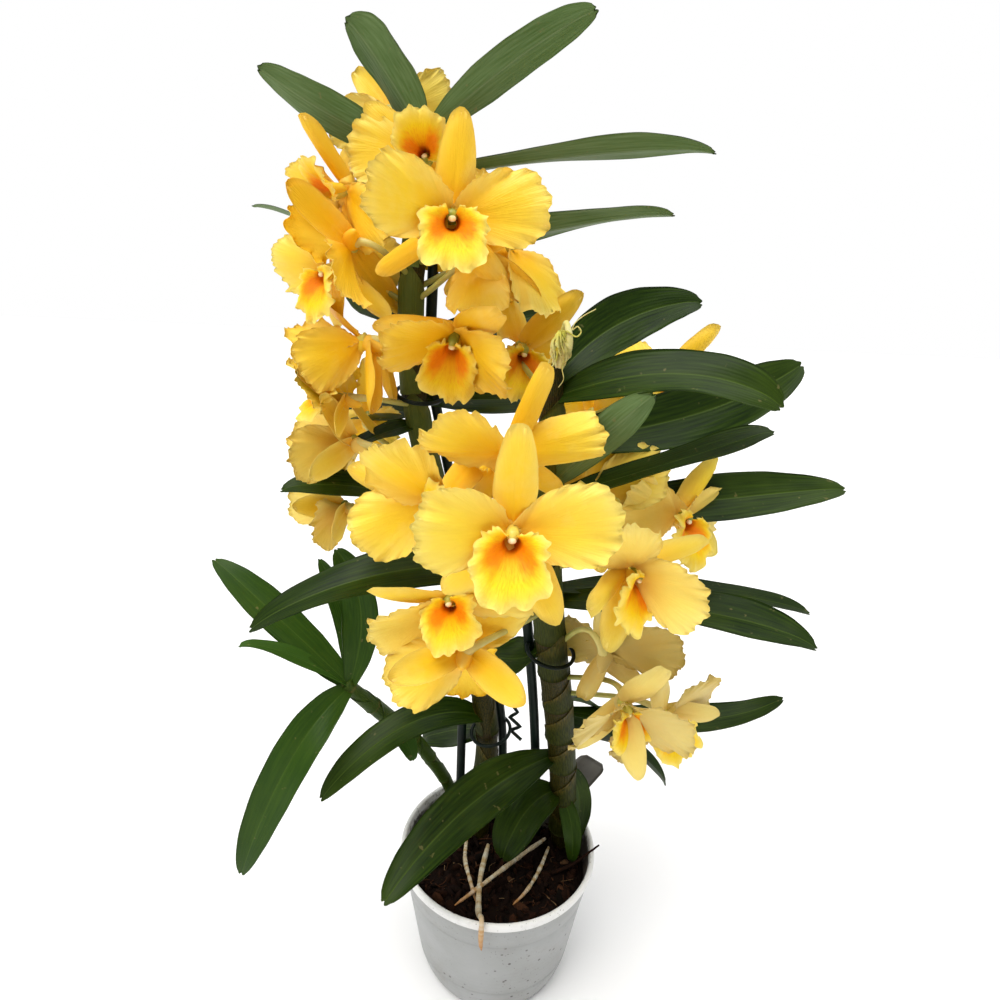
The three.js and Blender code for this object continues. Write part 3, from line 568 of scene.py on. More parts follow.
def tube(piece, line, radii, sides, look, relief=0.0, **values):
    """A closed round stem. Its values are given along the line or as one number."""
    line = np.asarray(line, float)
    count = len(line)
    side, other = frames(line)
    turn = turns(sides)
    reach = np.broadcast_to(np.asarray(radii, float), (count,))[:, None] + np.zeros(sides) + relief
    spokes = np.cos(turn)[:, None] * side[:, None] + np.sin(turn)[:, None] * other[:, None]
    rings = line[:, None] + reach[..., None] * spokes
    bottom, top = count * sides, count * sides + 1
    faces = grid_faces(count, sides, wrap=True, flip=True)
    for s in range(sides):
        n = (s + 1) % sides
        faces.append((bottom, s, n))
        faces.append((top, (count - 1) * sides + n, (count - 1) * sides + s))
    full = {}
    for name, given in {"along": np.linspace(0, 1, count), **values}.items():
        full[name] = np.append(np.repeat(given, sides), [given[0], given[-1]]) if np.ndim(given) else given
    full.setdefault("across", np.append(np.tile(np.abs(turn / math.pi - 1), count), [0.5, 0.5]))
    piece.add(np.concatenate([rings.reshape(-1, 3), line[:1], line[-1:]]), faces, look, **full)


def ball(piece, centre, axes, rows, sides, look, blunt=1.0, **values):
    """A rounded lump: axes holds its three half-axes, and blunt shrinks or swells its points."""
    up, turn = np.linspace(0, math.pi, rows + 1)[:, None], turns(sides)
    parts = np.stack([np.sin(up) * np.cos(turn), np.sin(up) * np.sin(turn), np.cos(up) + 0 * turn], -1)
    points = parts @ np.asarray(axes, float) * blunt
    piece.add(points + centre, grid_faces(rows + 1, sides, wrap=True), look, **values)


def chance(seed, purpose):
    """A number from 0 to 1 that is always the same for one seed and purpose."""
    s = math.sin(seed * 127.1 + purpose * 311.7) * 43758.5453
    return s - math.floor(s)


def smooth_ramp(pairs, place):
    """A rounded curve through [place, value] pairs."""
    xs, ys = np.array(pairs, float).T
    fine = np.linspace(xs[0], xs[-1], CURVE_STEPS)
    line = np.interp(fine, xs, ys)
    half = CURVE_ROUNDING // 2
    padded = np.concatenate([2 * line[0] - line[half:0:-1], line, 2 * line[-1] - line[-2:-2 - half:-1]])
    line = np.convolve(padded, np.ones(CURVE_ROUNDING) / CURVE_ROUNDING, "valid")
    return np.interp(place, fine, line)


# ---- canes ------------------------------------------------------------------------------------
# Each cane: the points of its middle line, its radius at each, the way from joint to joint, and the
# looks of its skin and of its sheaths.
CANES = {
    "front": {
        "places": [[43, 17, 84], [42, 14, 110], [38, 8, 159], [30, -5, 218], [22, -19, 266], [16, -32, 316],
                   [14, -42, 360], [13, -48, 389], [13, -50, 412]],
        "radii": [6, 8.8, 8.6, 9, 8.6, 7.8, 7, 6, 3.5],
        "joint": 27,
        "looks": ("cane", "sheath"),
    },
    "back": {
        "places": [[-12, 22, 84], [-11, 21, 130], [-10, 20, 181], [-30, 18, 268], [-42, 16, 327],
                   [-52, 14, 369], [-56, 12, 395], [-56, 8, 445], [-51, 5, 489], [-48, 2, 512]],
        "radii": [5.5, 7.5, 7, 6.8, 6.8, 6.8, 6.8, 6.4, 5.4, 3],
        "joint": 31,
        "looks": ("cane", "sheath"),
    },
    "shoot": {
        "places": [[-29, 35, 84], [-34, 36, 118], [-57, 25, 165], [-75, 12, 193], [-93, 0, 220]],
        "radii": [3.4, 3.8, 4.5, 5.2, 4],
        "joint": 22,
        "looks": ("young", "young"),
    },
}
CANE_SIDES, CANE_STEPS = 28, 170
SHEATH_GRID = (10, 22)            # rows and columns of points
SHEATH_WRAP = math.radians(320)   # how far a sheath reaches round the cane
SHEATH_THICK = 0.36


def cane_at(name, height):
    x, y, z = np.array(CANES[name]["places"], float).T
    return np.array([np.interp(height, z, x), np.interp(height, z, y), height])


def pick(spot, run, rows):
    """What the rows hold at other places along the run."""
    return np.stack([np.interp(spot, run, column) for column in rows.T], -1)


def cane_tubes(piece, name, seed):
    """The jointed cane, with a ridged ring and a torn sheath at each joint."""
    cane = CANES[name]
    line = catmull(cane["places"], CANE_STEPS)
    run = np.concatenate([[0], np.cumsum(np.linalg.norm(np.diff(line, axis=0), axis=1))])
    keys = [int(np.argmin(np.linalg.norm(line - np.array(p), axis=1))) for p in cane["places"]]
    radii = np.interp(run, run[keys], cane["radii"])
    off = 1 - np.abs((run / cane["joint"]) % 1.0 - 0.5) * 2
    swell = np.exp(-(off / 0.14) ** 2)
    radii = radii * (0.93 + 0.09 * swell) - 0.35 * np.exp(-(off / 0.04) ** 2)
    relief = 0.16 * np.sin(9 * turns(CANE_SIDES)) * (1 - swell[:, None])
    skin, cover = cane["looks"]
    tube(piece, line, radii, CANE_SIDES, skin, relief, along=run / 100, tone=float(seed),
         mark=np.exp(-(off / 0.07) ** 2))
    side, other = frames(line)
    rows, columns = SHEATH_GRID
    w, v = np.linspace(0, 1, rows)[:, None], np.linspace(-1, 1, columns)
    for k in range(1, int(run[-1] / cane["joint"])):
        foot = (k + 0.02) * cane["joint"]
        tall = cane["joint"] * (0.85 + 0.4 * chance(seed, k))
        turn = 2 * math.pi * chance(seed, k + 40) + SHEATH_WRAP / 2 * v[:, None]
        reach = foot + tall * w * (0.22 + 0.78 * (1 - np.abs(v)) ** 0.8)
        spot = np.minimum(reach, run[-1] - 1)
        out = np.interp(spot, run, radii) + 0.35 + 0.15 * w ** 3
        way = np.cos(turn) * pick(spot, run, side) + np.sin(turn) * pick(spot, run, other)
        grid = pick(spot, run, line) + out[..., None] * way
        shell(piece, grid, SHEATH_THICK, (cover, cover), along=np.repeat(w, columns),
              across=np.tile(np.abs(v), rows), tone=float(seed + k))


# ---- leaves -----------------------------------------------------------------------------------
# Share of the length, share of the widest half-width.
LEAF_OUTLINE = [[0, 0.3], [0.15, 0.7], [0.32, 0.95], [0.5, 1], [0.68, 0.93], [0.84, 0.72], [0.94, 0.45],
                [1, 0.16]]
LEAF_SHARE = 0.42                 # half a leaf's width, as a share of the width in its row
# Each leaf: cane, foot, a point halfway, tip, width, and how far it is turned about its midrib.
LEAVES = [
    ["back", [-53, 4, 498], [-97, 9, 517], [-126, 10, 534], 22, -60],
    ["back", [-50, 2, 508], [-69, 9, 535], [-86, 13, 555], 31, -60],
    ["back", [-48, 2, 508], [-10, -2, 537], [24, -10, 555], 21, -60],
    ["back", [-51, 5, 490], [27, 15, 505], [86, 10, 508], 22, -20],
    ["back", [-56, 8, 450], [9, 25, 471], [72, 20, 482], 26, -25],
    ["front", [13, -50, 406], [41, -35, 430], [79, -25, 441], 28, 55],
    ["front", [13, -49, 398], [59, -71, 413], [98, -84, 404], 28, 45],
    ["front", [13, -46, 379], [85, -20, 390], [139, 0, 414], 34, 60],
    ["front", [14, -42, 357], [32, -70, 386], [50, -76, 406], 19, -60],
    ["front", [14, -41, 350], [67, -61, 376], [101, -70, 393], 21, 25],
    ["front", [15, -37, 338], [103, -15, 346], [173, 0, 351], 30, 42],
    ["front", [18, -25, 297], [104, 0, 288], [173, 10, 274], 24, 14],
    ["front", [18, -24, 290], [91, -45, 298], [143, -60, 290], 30, 18],
    ["front", [28, -3, 210], [124, 25, 188], [176, 30, 204], 26, 10],
    ["front", [31, 2, 195], [74, 20, 174], [107, 15, 146], 22, 10],
    ["back", [-53, 13, 372], [-72, 5, 367], [-90, 0, 358], 17, 20],
    ["back", [-41, 15, 323], [-81, -5, 341], [-118, -20, 343], 22, 28],
    ["front", [16, -30, 307], [-52, -60, 319], [-117, -75, 295], 30, 22],
    ["back", [-54, 13, 378], [-84, 40, 372], [-115, 70, 361], 30, 30],
    ["back", [-57, 10, 421], [-78, 35, 431], [-97, 55, 438], 26, 30],
    ["back", [-57, 10, 413], [-12, 40, 424], [30, 55, 433], 28, 40],
    ["back", [-55, 12, 385], [-5, 34, 384], [46, 45, 387], 26, 40],
    ["back", [-56, 8, 449], [-98, 40, 466], [-151, 60, 482], 22, 0],
    ["back", [-10, 20, 186], [-55, -5, 198], [-103, -30, 163], 26, 25],
    ["back", [-10, 20, 178], [-31, 42, 160], [-57, 60, 138], 26, 60],
    ["front", [32, 6, 172], [-17, -34, 168], [-58, -80, 147], 34, 20],
    ["front", [35, 9, 143], [16, -8, 141], [2, -20, 115], 34, 10],
    ["front", [37, 10, 142], [45, -2, 128], [46, -9, 104], 14, 30],
    ["front", [38, 8, 163], [50, 9, 138], [46, 1, 103], 18, 30],
    ["shoot", [-91, 1, 218], [-128, 5, 254], [-173, 20, 287], 26, 30],
    ["shoot", [-91, 1, 217], [-121, -10, 243], [-145, -20, 255], 15, 10],
    ["shoot", [-91, 1, 217], [-117, -30, 190], [-147, -40, 116], 28, 50],
    ["shoot", [-91, 1, 218], [-86, 12, 263], [-102, 20, 296], 26, 30],
    ["shoot", [-91, 1, 218], [-97, 24, 247], [-115, 32, 284], 18, 30],
    ["shoot", [-72, 14, 188], [-60, 4, 182], [-53, -2, 169], 14, 20],
    ["front", [20, -16, 258], [5, -10, 247], [-13, -4, 246], 30, 20],
    ["front", [33, 4, 213], [49, 12, 206], [60, 15, 197], 22, -20],
]
# How young and pale a leaf is, by its place in the list.
YOUNG_LEAVES = {29: 0.5, 30: 0.9, 31: 0.5, 32: 0.4, 33: 0.4, 34: 0.8, 27: 0.2}
LEAF_ROWS, LEAF_COLUMNS = 44, 19


def leaf(piece, row, seed):
    """A strap leaf: a channelled sheet along a bent midrib, with a blunt, slightly notched tip."""
    _, base, middle, tip, width, turn = row
    start, through, end = (np.array(p, float) for p in (base, middle, tip))
    pull = 2 * through - 0.5 * start - 0.5 * end
    share = 1 - (1 - np.linspace(0, 1, LEAF_ROWS)) ** 1.15
    u, v = share[:, None], np.linspace(-1, 1, LEAF_COLUMNS)
    line = (1 - u) ** 2 * start + 2 * u * (1 - u) * pull + u ** 2 * end
    along = unit(2 * (1 - u) * (pull - start) + 2 * u * (end - pull))
    level = unit(np.cross(end - start, [0, 0, 1.0]))
    side = unit(level - np.sum(along * level, axis=1, keepdims=True) * along)
    side = turned(side, along, math.radians(turn if tip[0] > base[0] else -turn))
    face = np.cross(side, along)
    half = LEAF_SHARE * width * np.maximum(smooth_ramp(LEAF_OUTLINE, u), 0)
    wave = 1.5 * np.sin(8 * u + 2.4 * seed + 1.6 * v) * np.abs(v) ** 1.6
    droop = 1.8 * (np.maximum(u - 0.86, 0) / 0.14) ** 2
    lift = half * 0.26 * np.abs(v) ** 1.1 + wave * half / 10 - droop
    notch = 1.8 * np.exp(-((v - 0.2) / 0.35) ** 2) + 1.6 * np.abs(v) ** 3
    short = np.maximum(u - 0.97, 0) / 0.03 * notch
    grid = line[:, None] + side[:, None] * (half * v)[..., None]
    grid += face[:, None] * lift[..., None] - along[:, None] * short[..., None]
    thick = (0.5 + 0.9 * (1 - np.abs(v)) ** 2) * (1 - 0.5 * u)
    shell(piece, grid, thick, ("leaf", "under"), along=np.repeat(3 * share, LEAF_COLUMNS),
          across=np.tile(v, LEAF_ROWS), tone=YOUNG_LEAVES.get(seed, 0.0))


# ---- blooms -----------------------------------------------------------------------------------
# In the grids, u runs from foot to tip, v from side to side, t round the edge and r out to the edge.
# Outlines: share of the length, share of the widest half-width.
OUTLINES = {
    "petal": [[0, 0.24], [0.1, 0.5], [0.25, 0.78], [0.5, 0.98], [0.65, 1], [0.8, 0.93], [0.92, 0.68],
              [0.98, 0.35], [1, 0]],
    "dorsal": [[0, 0.6], [0.15, 0.85], [0.35, 1], [0.6, 0.9], [0.8, 0.7], [0.92, 0.5], [0.98, 0.26], [1, 0]],
    "lateral": [[0, 0.55], [0.2, 0.85], [0.45, 1], [0.7, 0.9], [0.86, 0.66], [0.96, 0.36], [1, 0]],
}
# Millimetres and degrees. Ripple is the height of the waves round the edge of a sepal, and how many.
TEPALS = {
    "petal": {"length": 39, "half": 15.5, "set": 0.4, "curl": -16, "columns": 104, "rows": 11, "ruffle": 1.0},
    "dorsal": {"length": 40, "half": 8.2, "set": 0.9, "curl": -12, "columns": 40, "rows": 8, "ruffle": 0.15,
               "roll_back": 0.30, "ripple": [0.35, 4]},
    "lateral": {"length": 38, "half": 7.6, "set": -1.6, "curl": -12, "columns": 40, "rows": 8, "ruffle": 0.15,
                "roll_back": 0.22, "ripple": [0.5, 3]},
}
# name: kind, angle clockwise from the top, lean forward (degrees).
STANCE = {
    "top": ["dorsal", 0, 4],
    "right": ["petal", 84, 4],
    "left": ["petal", -84, 4],
    "low_right": ["lateral", 142, -6],
    "low_left": ["lateral", -142, -6],
}
# Each bloom: middle, facing (degrees right of front, degrees up), turn clockwise, size, cane,
# height of its stalk on the cane, tone (-1 golden to 1 creamy, above 1 darkened as painted shade) and
# what stands differently: a tepal's angle, lean and, for a rolled one, how far its sides roll back;
# the lip's turn right, up and clockwise with its size; and a point that the stalk bends through.
BLOOMS = [
    [[-34, -30, 469], 8, 10, 0, 1.05, "back", 452, -0.3, {"top": [5, 14], "right": [80, 20],
     "left": [-78, 42], "low_right": [130, -18, 60], "low_left": [-121, -16, 100]}],
    [[-48, -1, 497], -8, 8, 166, 0.95, "back", 480, -0.1, {"top": [0, -43], "right": [111, 8],
     "left": [-35, -50], "low_right": [141, 12], "low_left": [-179, -41], "lip": [-5, 20, 0, 0.88]}],
    [[-73, 48, 526], 180, 0, 0, 0.9, "back", 503, 0.4, {"top": [42, 37], "right": [101, 23],
     "left": [-78, -13]}],
    [[-86, 3, 483], -22, -20, 172, 0.9, "back", 474, -0.3, {"top": [33, -17], "right": [97, 0],
     "left": [-51, 36], "low_right": [130, -44], "low_left": [167, 17, 110], "lip": [30, 0, 0, 0.85]}],
    [[-82, -7, 459], -130, 0, -135, 1, "back", 446, -0.5, {"top": [-1, 5], "right": [82, 30],
     "left": [-93, -32], "low_right": [165, 45], "low_left": [-170, 10]}],
    [[-93, 1, 448], -35, -10, -10, 0.9, "back", 432, 0.1, {"top": [-20, -35], "right": [99, -50],
     "left": [-75, 17]}],
    [[-76, -9, 416], -105, -20, 0, 0.95, "back", 405, -0.3, {"top": [-36, 43], "right": [101, 40],
     "left": [20, 70], "low_right": [155, 11, 110], "low_left": [-153, 16, 100]}],
    [[-87, -9, 388], -85, -15, 0, 0.8, "back", 383, 0, {"top": [52, 29], "right": [60, 29],
     "left": [-22, 50], "low_right": [113, 15], "lip": [40, 40, 0, 1]}],
    [[-83, -8, 366], -120, -10, 0, 0.9, "back", 358, 0.6, {"top": [45, -7], "right": [96, 22],
     "left": [44, 80], "low_right": [109, 8], "low_left": [-148, 49]}],
    [[-89, -6, 331], -120, -10, 0, 0.8, "back", 326, 0.7, {"top": [76, 9], "right": [105, -7],
     "left": [60, 80], "low_right": [111, -20]}],
    [[-84, 35, 371], 170, 0, 0, 0.8, "back", 350, 0.2, {"right": [130, 30], "left": [-105, -30]}],
    [[-31, -24, 422], -12, -30, 8, 1, "back", 410, -0.5, {"top": [40, 35], "right": [91, 49],
     "left": [-72, 58], "low_right": [162, 1], "low_left": [-93, 14]}],
    [[-1, 0, 415], 15, -8, 15, 0.95, "front", 398, -0.2, {"top": [27, 16], "right": [99, -8],
     "left": [-12, -50, 110], "low_left": [169, -35]}],
    [[-9, 1, 461], 45, -5, 30, 0.95, "back", 440, -0.1, {"top": [21, -18], "right": [135, 52],
     "left": [-20, -50], "low_right": [115, -14], "low_left": [-175, -30], "lip": [150, 0, 0, 0.8]}],
    [[-24, -7, 458], 180, 15, 96, 0.95, "back", 434, -0.3, {"top": [14, 43], "right": [92, -50],
     "left": [-89, 40], "stalk": [-36, -3, 450]}],
    [[-3, -107, 358], 0, 8, 3, 1, "front", 345, 0.1, {"top": [-2, 22], "right": [77, 17], "left": [-86, 42],
     "low_right": [149, 10], "low_left": [-141, -7]}],
    [[-6, -72, 379], -30, -5, 20, 1, "front", 366, -0.2, {"top": [4, 5, 110], "right": [56, -14, 90],
     "left": [-56, 65], "low_right": [136, -35], "low_left": [-160, -9], "lip": [-90, -70, 140, 0.95]}],
    [[-33, -70, 357], -25, 0, -80, 1, "front", 337, -0.1, {"top": [5, 22], "right": [53, 50],
     "left": [-40, 35], "low_right": [100, -50], "low_left": [-120, -30]}],
    [[-27, -72, 312], -15, -30, -10, 0.95, "front", 300, 0.35, {"top": [-39, 32], "right": [77, 6],
     "left": [-82, 50], "low_right": [171, -8], "low_left": [-140, -20], "lip": [20, 50, 0, 0.95]}],
    [[-20, -83, 294], 175, -25, 0, 0.95, "front", 287, 0.1, {"top": [11, 40], "right": [121, 12],
     "left": [-30, 25], "low_right": [112, -34], "low_left": [-121, -23], "stalk": [-9, -92, 307]}],
    [[49, -71, 330], -5, -5, 45, 0.95, "front", 312, 0.6, {"top": [31, -17, 90], "right": [50, 52],
     "left": [-60, 45], "low_right": [148, 39], "low_left": [-153, 68, 100], "lip": [28, 20, 0, 0.95]}],
    [[78, -31, 342], 30, 5, 30, 0.95, "front", 330, 0.5, {"top": [20, -1, 80], "right": [69, -2],
     "left": [-104, 12], "low_right": [100, 10], "low_left": [-170, -34]}],
    [[33, -46, 354], 10, 20, 25, 0.95, "front", 352, 0.2, {"top": [3, 7], "right": [43, 15],
     "left": [-53, -46]}],
    [[57, -51, 250], -10, -20, 10, 0.95, "front", 238, 1.3, {"top": [16, 13], "right": [87, 34],
     "left": [-80, 60], "low_right": [142, 60], "low_left": [-155, 26], "lip": [30, 10, 0, 0.88]}],
    [[82, -36, 235], 40, -10, -26, 0.9, "front", 226, 1.4, {"right": [100, 21], "low_right": [122, 36],
     "lip": [-20, 0, 0, 1]}],
    [[49, -36, 269], 160, 0, 0, 0.95, "front", 256, 1.6, {"right": [110, 45], "left": [-82, 14],
     "low_right": [162, 19, 80], "low_left": [-150, 40], "stalk": [39, -33, 292]}],
    [[69, -2, 399], 20, 10, 0, 0.95, "front", 385, 0, {"top": [36, 34, 100], "left": [-34, -37],
     "low_right": [174, -50], "low_left": [-156, 45, 100]}],
    [[37, 0, 384], 160, 0, 0, 0.85, "front", 380, 0, {"right": [80, 40], "left": [-55, -39]}],
]
PEDICEL_RADIUS = 1.5
PEDICEL_STEPS = 26
TEPAL_THICK, TEPAL_THINS = 0.62, 0.48      # in the middle, and how much of it is gone at the edge
SEPAL_GOLD = 0.45                          # how much more golden the sepals are than the petals
TUBE_FOOT = 2                              # a tepal starts this far from the middle of its bloom
LIP_ROWS, LIP_COLUMNS = 22, 121
LIP_TURN = 158                             # degrees that the lip reaches round to each side
# Degrees from the lip's lowest point, and how far it reaches out there.
LIP_OUTLINE = [[0, 19.5], [27, 20.2], [50, 18], [64, 15], [78, 13.2], [100, 13.1], [120, 11.5], [140, 8.5],
               [158, 6]]
THROAT = 0.34                              # the share of the lip that is its narrow tube
# The column over the lip and the spur behind the bloom: points on a curve, and a radius for each step.
COLUMN = [[0, 0.8, -1], [0, 0.9, 3], [0, 0.3, 6.5], [0, -0.8, 9]]
COLUMN_RADII = [3.2, 2.7, 2.4, 2.3, 2.3, 2.3, 2.4, 2.5, 2.5, 2.3, 1.8, 0.8]
CAP_PLACE, CAP_HALF_AXES = [0, -1.6, 8.6], [1.6, 1.2, 1.2]
SPUR = [[0, -1, -0.5], [0, -3.5, -4], [0, -6, -7.5], [0, -7, -9.5]]
SPUR_RADII = [4.2, 4.4, 4.3, 4.0, 3.6, 3.1, 2.6, 2.1, 1.5, 0.7]


def outline_points(kind):
    """The outline of a flat tepal, in even steps along its edge."""
    u = (1 - np.cos(np.linspace(0, math.pi, 400))) / 2
    w = np.maximum(smooth_ramp(OUTLINES[kind], u), 0) * np.minimum(1, np.sqrt(np.maximum(1 - u, 0) / 0.03))
    x = np.concatenate([-w, w[::-1][1:]]) * TEPALS[kind]["half"]
    y = np.concatenate([u, u[::-1][1:]]) * TEPALS[kind]["length"]
    run = np.concatenate([[0], np.cumsum(np.hypot(np.diff(x), np.diff(y)))])
    even = np.linspace(0, run[-1], TEPALS[kind]["columns"])
    return np.interp(even, run, x), np.interp(even, run, y)


EDGES = {kind: outline_points(kind) for kind in OUTLINES}


def facing(out, up, roll):
    """Right, up and out of what faces one way and is turned clockwise by the roll."""
    rise = up - np.dot(up, out) * out
    rise /= np.linalg.norm(rise)
    side = np.cross(rise, out)
    return np.array([turned(side, out, -roll), turned(rise, out, -roll), out])


def bloom_frame(right, up, roll):
    """The directions of a bloom, from how far it faces right of the front and up."""
    right, up, roll = np.radians((right, up, roll))
    out = np.array([math.sin(right) * math.cos(up), -math.cos(right) * math.cos(up), math.sin(up)])
    return facing(out, np.array([0, 0, 1.0]), roll)


def own_frame(right, up, roll):
    """A bloom's own directions, turned to the right, up and clockwise."""
    right, up, roll = np.radians((right, up, roll))
    out = np.array([math.sin(right) * math.cos(up), math.sin(up), math.cos(right) * math.cos(up)])
    return facing(out, np.array([0, 1.0, 0]), roll)


def petal_lift(half, x, u, v, t, r, phase):
    """How far a petal stands out of its flat: a dish, long folds, ruffles, a frill and a midrib."""
    pi = math.pi
    gather = 0.55 + 0.45 * np.sin(2.6 * pi * t + phase[1])
    lift = half * v ** 2 * (0.18 * (1 - u) - 0.10 * u)
    lift += 1.8 * r ** 2 * np.sin(2.6 * pi * t + phase[2])
    lift += 0.8 * r * np.sin(5.2 * u + phase[0]) * np.sin(3.4 * pi * t + phase[4])
    lift += 1.3 * r ** 4 * gather * np.sin(6.1 * pi * t + 1.5 * np.sin(4 * t) + phase[3])
    lift += 1.4 * r ** 7 * gather * np.sin(14 * pi * t + 2.5 * np.sin(5 * t) + phase[4])
    lift += 0.55 * r ** 12 * np.sin(29 * pi * t + 4 * np.sin(6 * t) + phase[0])
    return lift - 0.7 * np.exp(-(x / 1.6) ** 2) * (1 - u) * r


def sepal_lift(tepal, x, v, t, r, phase):
    """How far a sepal stands out of its flat: sides that roll back, a soft wave and a midrib."""
    tall, count = tepal["ripple"]
    lift = tall * np.sin(count * math.pi * t + phase[3]) * r ** 4
    return lift - tepal["roll_back"] * tepal["half"] * np.abs(v) ** 2.2 - 0.35 * np.exp(-(x / 0.9) ** 2)


def tepal_grid(kind, angle, lean, fold, seed):
    """Middle points of a tepal in the bloom's own directions: right, up and out of its face."""
    tepal = TEPALS[kind]
    length, half, curl = tepal["length"], tepal["half"], tepal["curl"]
    angle, tip_lean, fold = np.radians((angle, lean, max(fold, 1)))
    t = np.linspace(-1, 1, tepal["columns"])
    r = np.linspace(0.03, 1, tepal["rows"])[:, None] ** 0.85
    phase = [2 * math.pi * chance(seed, k + 20) for k in range(5)]
    tooth = 0.02 * np.sin(7 * math.pi * t + phase[0] + 1.5 * np.sin(4 * t))
    tooth += 0.012 * np.sin(23 * math.pi * t + phase[1] + 3 * np.sin(5 * t))
    x, y = (edge * r * (1 + tepal["ruffle"] * tooth * r ** 6) for edge in EDGES[kind])
    u = np.clip(y / length, 0, 1.05)
    shares = np.linspace(0, 1, 101)
    widths = np.interp(u, shares, smooth_ramp(OUTLINES[kind], shares))
    v = np.clip(x / (half * np.maximum(widths, 0.15)), -1, 1)
    if kind == "petal":
        lift = petal_lift(half, x, u, v, t, r, phase)
    else:
        lift = sepal_lift(tepal, x, v, t, r, phase)
    steps = np.linspace(0, 1.05, 64)
    slope, stride = np.radians(lean + curl * steps)[:-1], np.diff(steps) * length
    run = np.interp(u, steps, np.concatenate([[0], np.cumsum(np.cos(slope) * stride)]))
    out = np.interp(u, steps, np.concatenate([[0], np.cumsum(np.sin(slope) * stride)]))
    bend, bow = np.radians(lean + curl * u), fold * x / half
    wide = half / fold * np.sin(bow)
    high = lift - half / fold * (1 - np.cos(bow))
    run += TUBE_FOOT * math.cos(tip_lean) - high * np.sin(bend)
    out += tepal["set"] + TUBE_FOOT * math.sin(tip_lean) + high * np.cos(bend)
    sin, cos = math.sin(angle), math.cos(angle)
    grid = np.stack([sin * run + cos * wide, cos * run - sin * wide, out], -1)
    return grid, u, v, t + 0 * u, r


def lip_grid(seed):
    """Middle points of the lip: a short tube round the column that flares into a frilled limb."""
    pi = math.pi
    u, t = np.linspace(0, 1, LIP_ROWS)[:, None], np.linspace(-1, 1, LIP_COLUMNS)
    turn = np.radians(LIP_TURN) * t
    phase = [2 * pi * chance(seed, k + 60) for k in range(5)]
    inner, s = np.clip(u / THROAT, 0, 1), np.clip((u - THROAT) / (1 - THROAT), 0, 1)
    frill = np.sin(11 * pi * t + phase[1] + 1.5 * np.sin(3 * pi * t))
    crimp = np.sin(25 * pi * t + phase[4] + 2 * np.sin(5 * pi * t))
    far = np.interp(np.degrees(np.abs(turn)), *np.array(LIP_OUTLINE, float).T)
    far = far + 0.7 * np.sin(5 * pi * t + phase[0]) + 0.8 * s ** 4 * frill + 0.4 * s ** 8 * crimp
    reach = 2.4 + 1.4 * inner + (far - 3.8) * s
    front = 12 + 9 * ((1 + np.cos(turn)) / 2) ** 1.2
    depth = 9 * inner + (front - 9) * (1 - (1 - s) ** 1.8)
    depth -= 2.2 * s ** 5 * (0.4 + 0.6 * np.abs(np.sin(turn)))
    depth += 0.9 * s ** 2 * np.sin(5 * pi * t + phase[2])
    depth += 1.4 * s ** 4 * np.sin(11 * pi * t + phase[3])
    depth += 0.9 * s ** 8 * np.sin(25 * pi * t + phase[2] + 2 * np.sin(5 * pi * t))
    fall = -1.2 - 2.0 * inner - 0.8 * s
    grid = np.stack([reach * np.sin(turn), fall - reach * np.cos(turn), depth], -1)
    return grid, u + 0 * t, t + 0 * u


def pedicel(piece, root, leave, behind):
    """The stalk of a bloom: from the cane, by way of a point to leave through, to its back."""
    bend = (root + leave) / 2 + np.array([0, 0, -3])
    w = np.linspace(0, 1, PEDICEL_STEPS)
    radii = PEDICEL_RADIUS * np.interp(w, [0, 0.06, 0.7, 0.9, 1], [1.35, 0.95, 0.95, 1.25, 1.9])
    w = w[:, None]
    line = (1 - w) ** 3 * root + 3 * w * (1 - w) ** 2 * bend + 3 * w ** 2 * (1 - w) * leave + w ** 3 * behind
    tube(piece, line, radii, 12, "stalk")


def bloom(number, row):
    """One whole flower on its stalk."""
    middle, right, up, roll, size, cane, height, tone, stance = row
    axes = bloom_frame(right, up, roll)
    piece = Piece()

    def to_world(local):
        return np.array(middle, float) + (np.asarray(local, float) * size) @ axes

    for k, (name, (kind, *pose)) in enumerate(STANCE.items()):
        angle, lean, fold = (stance.get(name, pose) + [0])[:3]
        grid, u, v, t, r = tepal_grid(kind, angle, lean, fold, number * 7 + k)
        thick = TEPAL_THICK - TEPAL_THINS * np.maximum(np.abs(v), r)
        hue = tone if kind == "petal" else tone - SEPAL_GOLD
        shell(piece, to_world(grid), thick, ("petal", "petal"), along=u, across=v, vein=t, tone=hue)
    *lip_turn, lip_size = stance.get("lip", (0, 0, 0, 1))
    own = own_frame(*lip_turn) * lip_size
    grid, u, t = lip_grid(number)
    shell(piece, to_world(grid[:, ::-1] @ own), 0.7 - 0.5 * u, ("lip", "lip"), along=u, across=-t, tone=tone)
    column = to_world(catmull(COLUMN, len(COLUMN_RADII)) @ own)
    tube(piece, column, np.array(COLUMN_RADII) * size, 14, "column", tone=0.5 - 0.5 * math.cos(0.62 * number))
    cap_axes = own @ axes * np.array(CAP_HALF_AXES)[:, None] * size
    ball(piece, to_world(CAP_PLACE @ own), cap_axes, 10, 14, "cap")
    spur = to_world(catmull(SPUR, len(SPUR_RADII)))
    tube(piece, spur, np.array(SPUR_RADII) * size, 16, "petal", along=0.15, tone=tone)
    leave = np.array(stance["stalk"], float) if "stalk" in stance else to_world([0, -4, -22])
    pedicel(piece, cane_at(cane, height), leave, to_world([0, -1, -3]))
    piece.make(f"flower_{number + 1:02d}", [f"bloom_{number + 1:02d}"])


for number, row in enumerate(BLOOMS):
    bloom(number, row)

for seed, name in enumerate(CANES):
    plant = Piece()
    cane_tubes(plant, name, seed + 1)
    for k, row in enumerate(LEAVES):
        if row[0] == name:
            leaf(plant, row, k)
    plant.make(f"cane_{name}", [f"leafy_{name}"])


# ---- pot --------------------------------------------------------------------------------------
RIM_TOP = 112
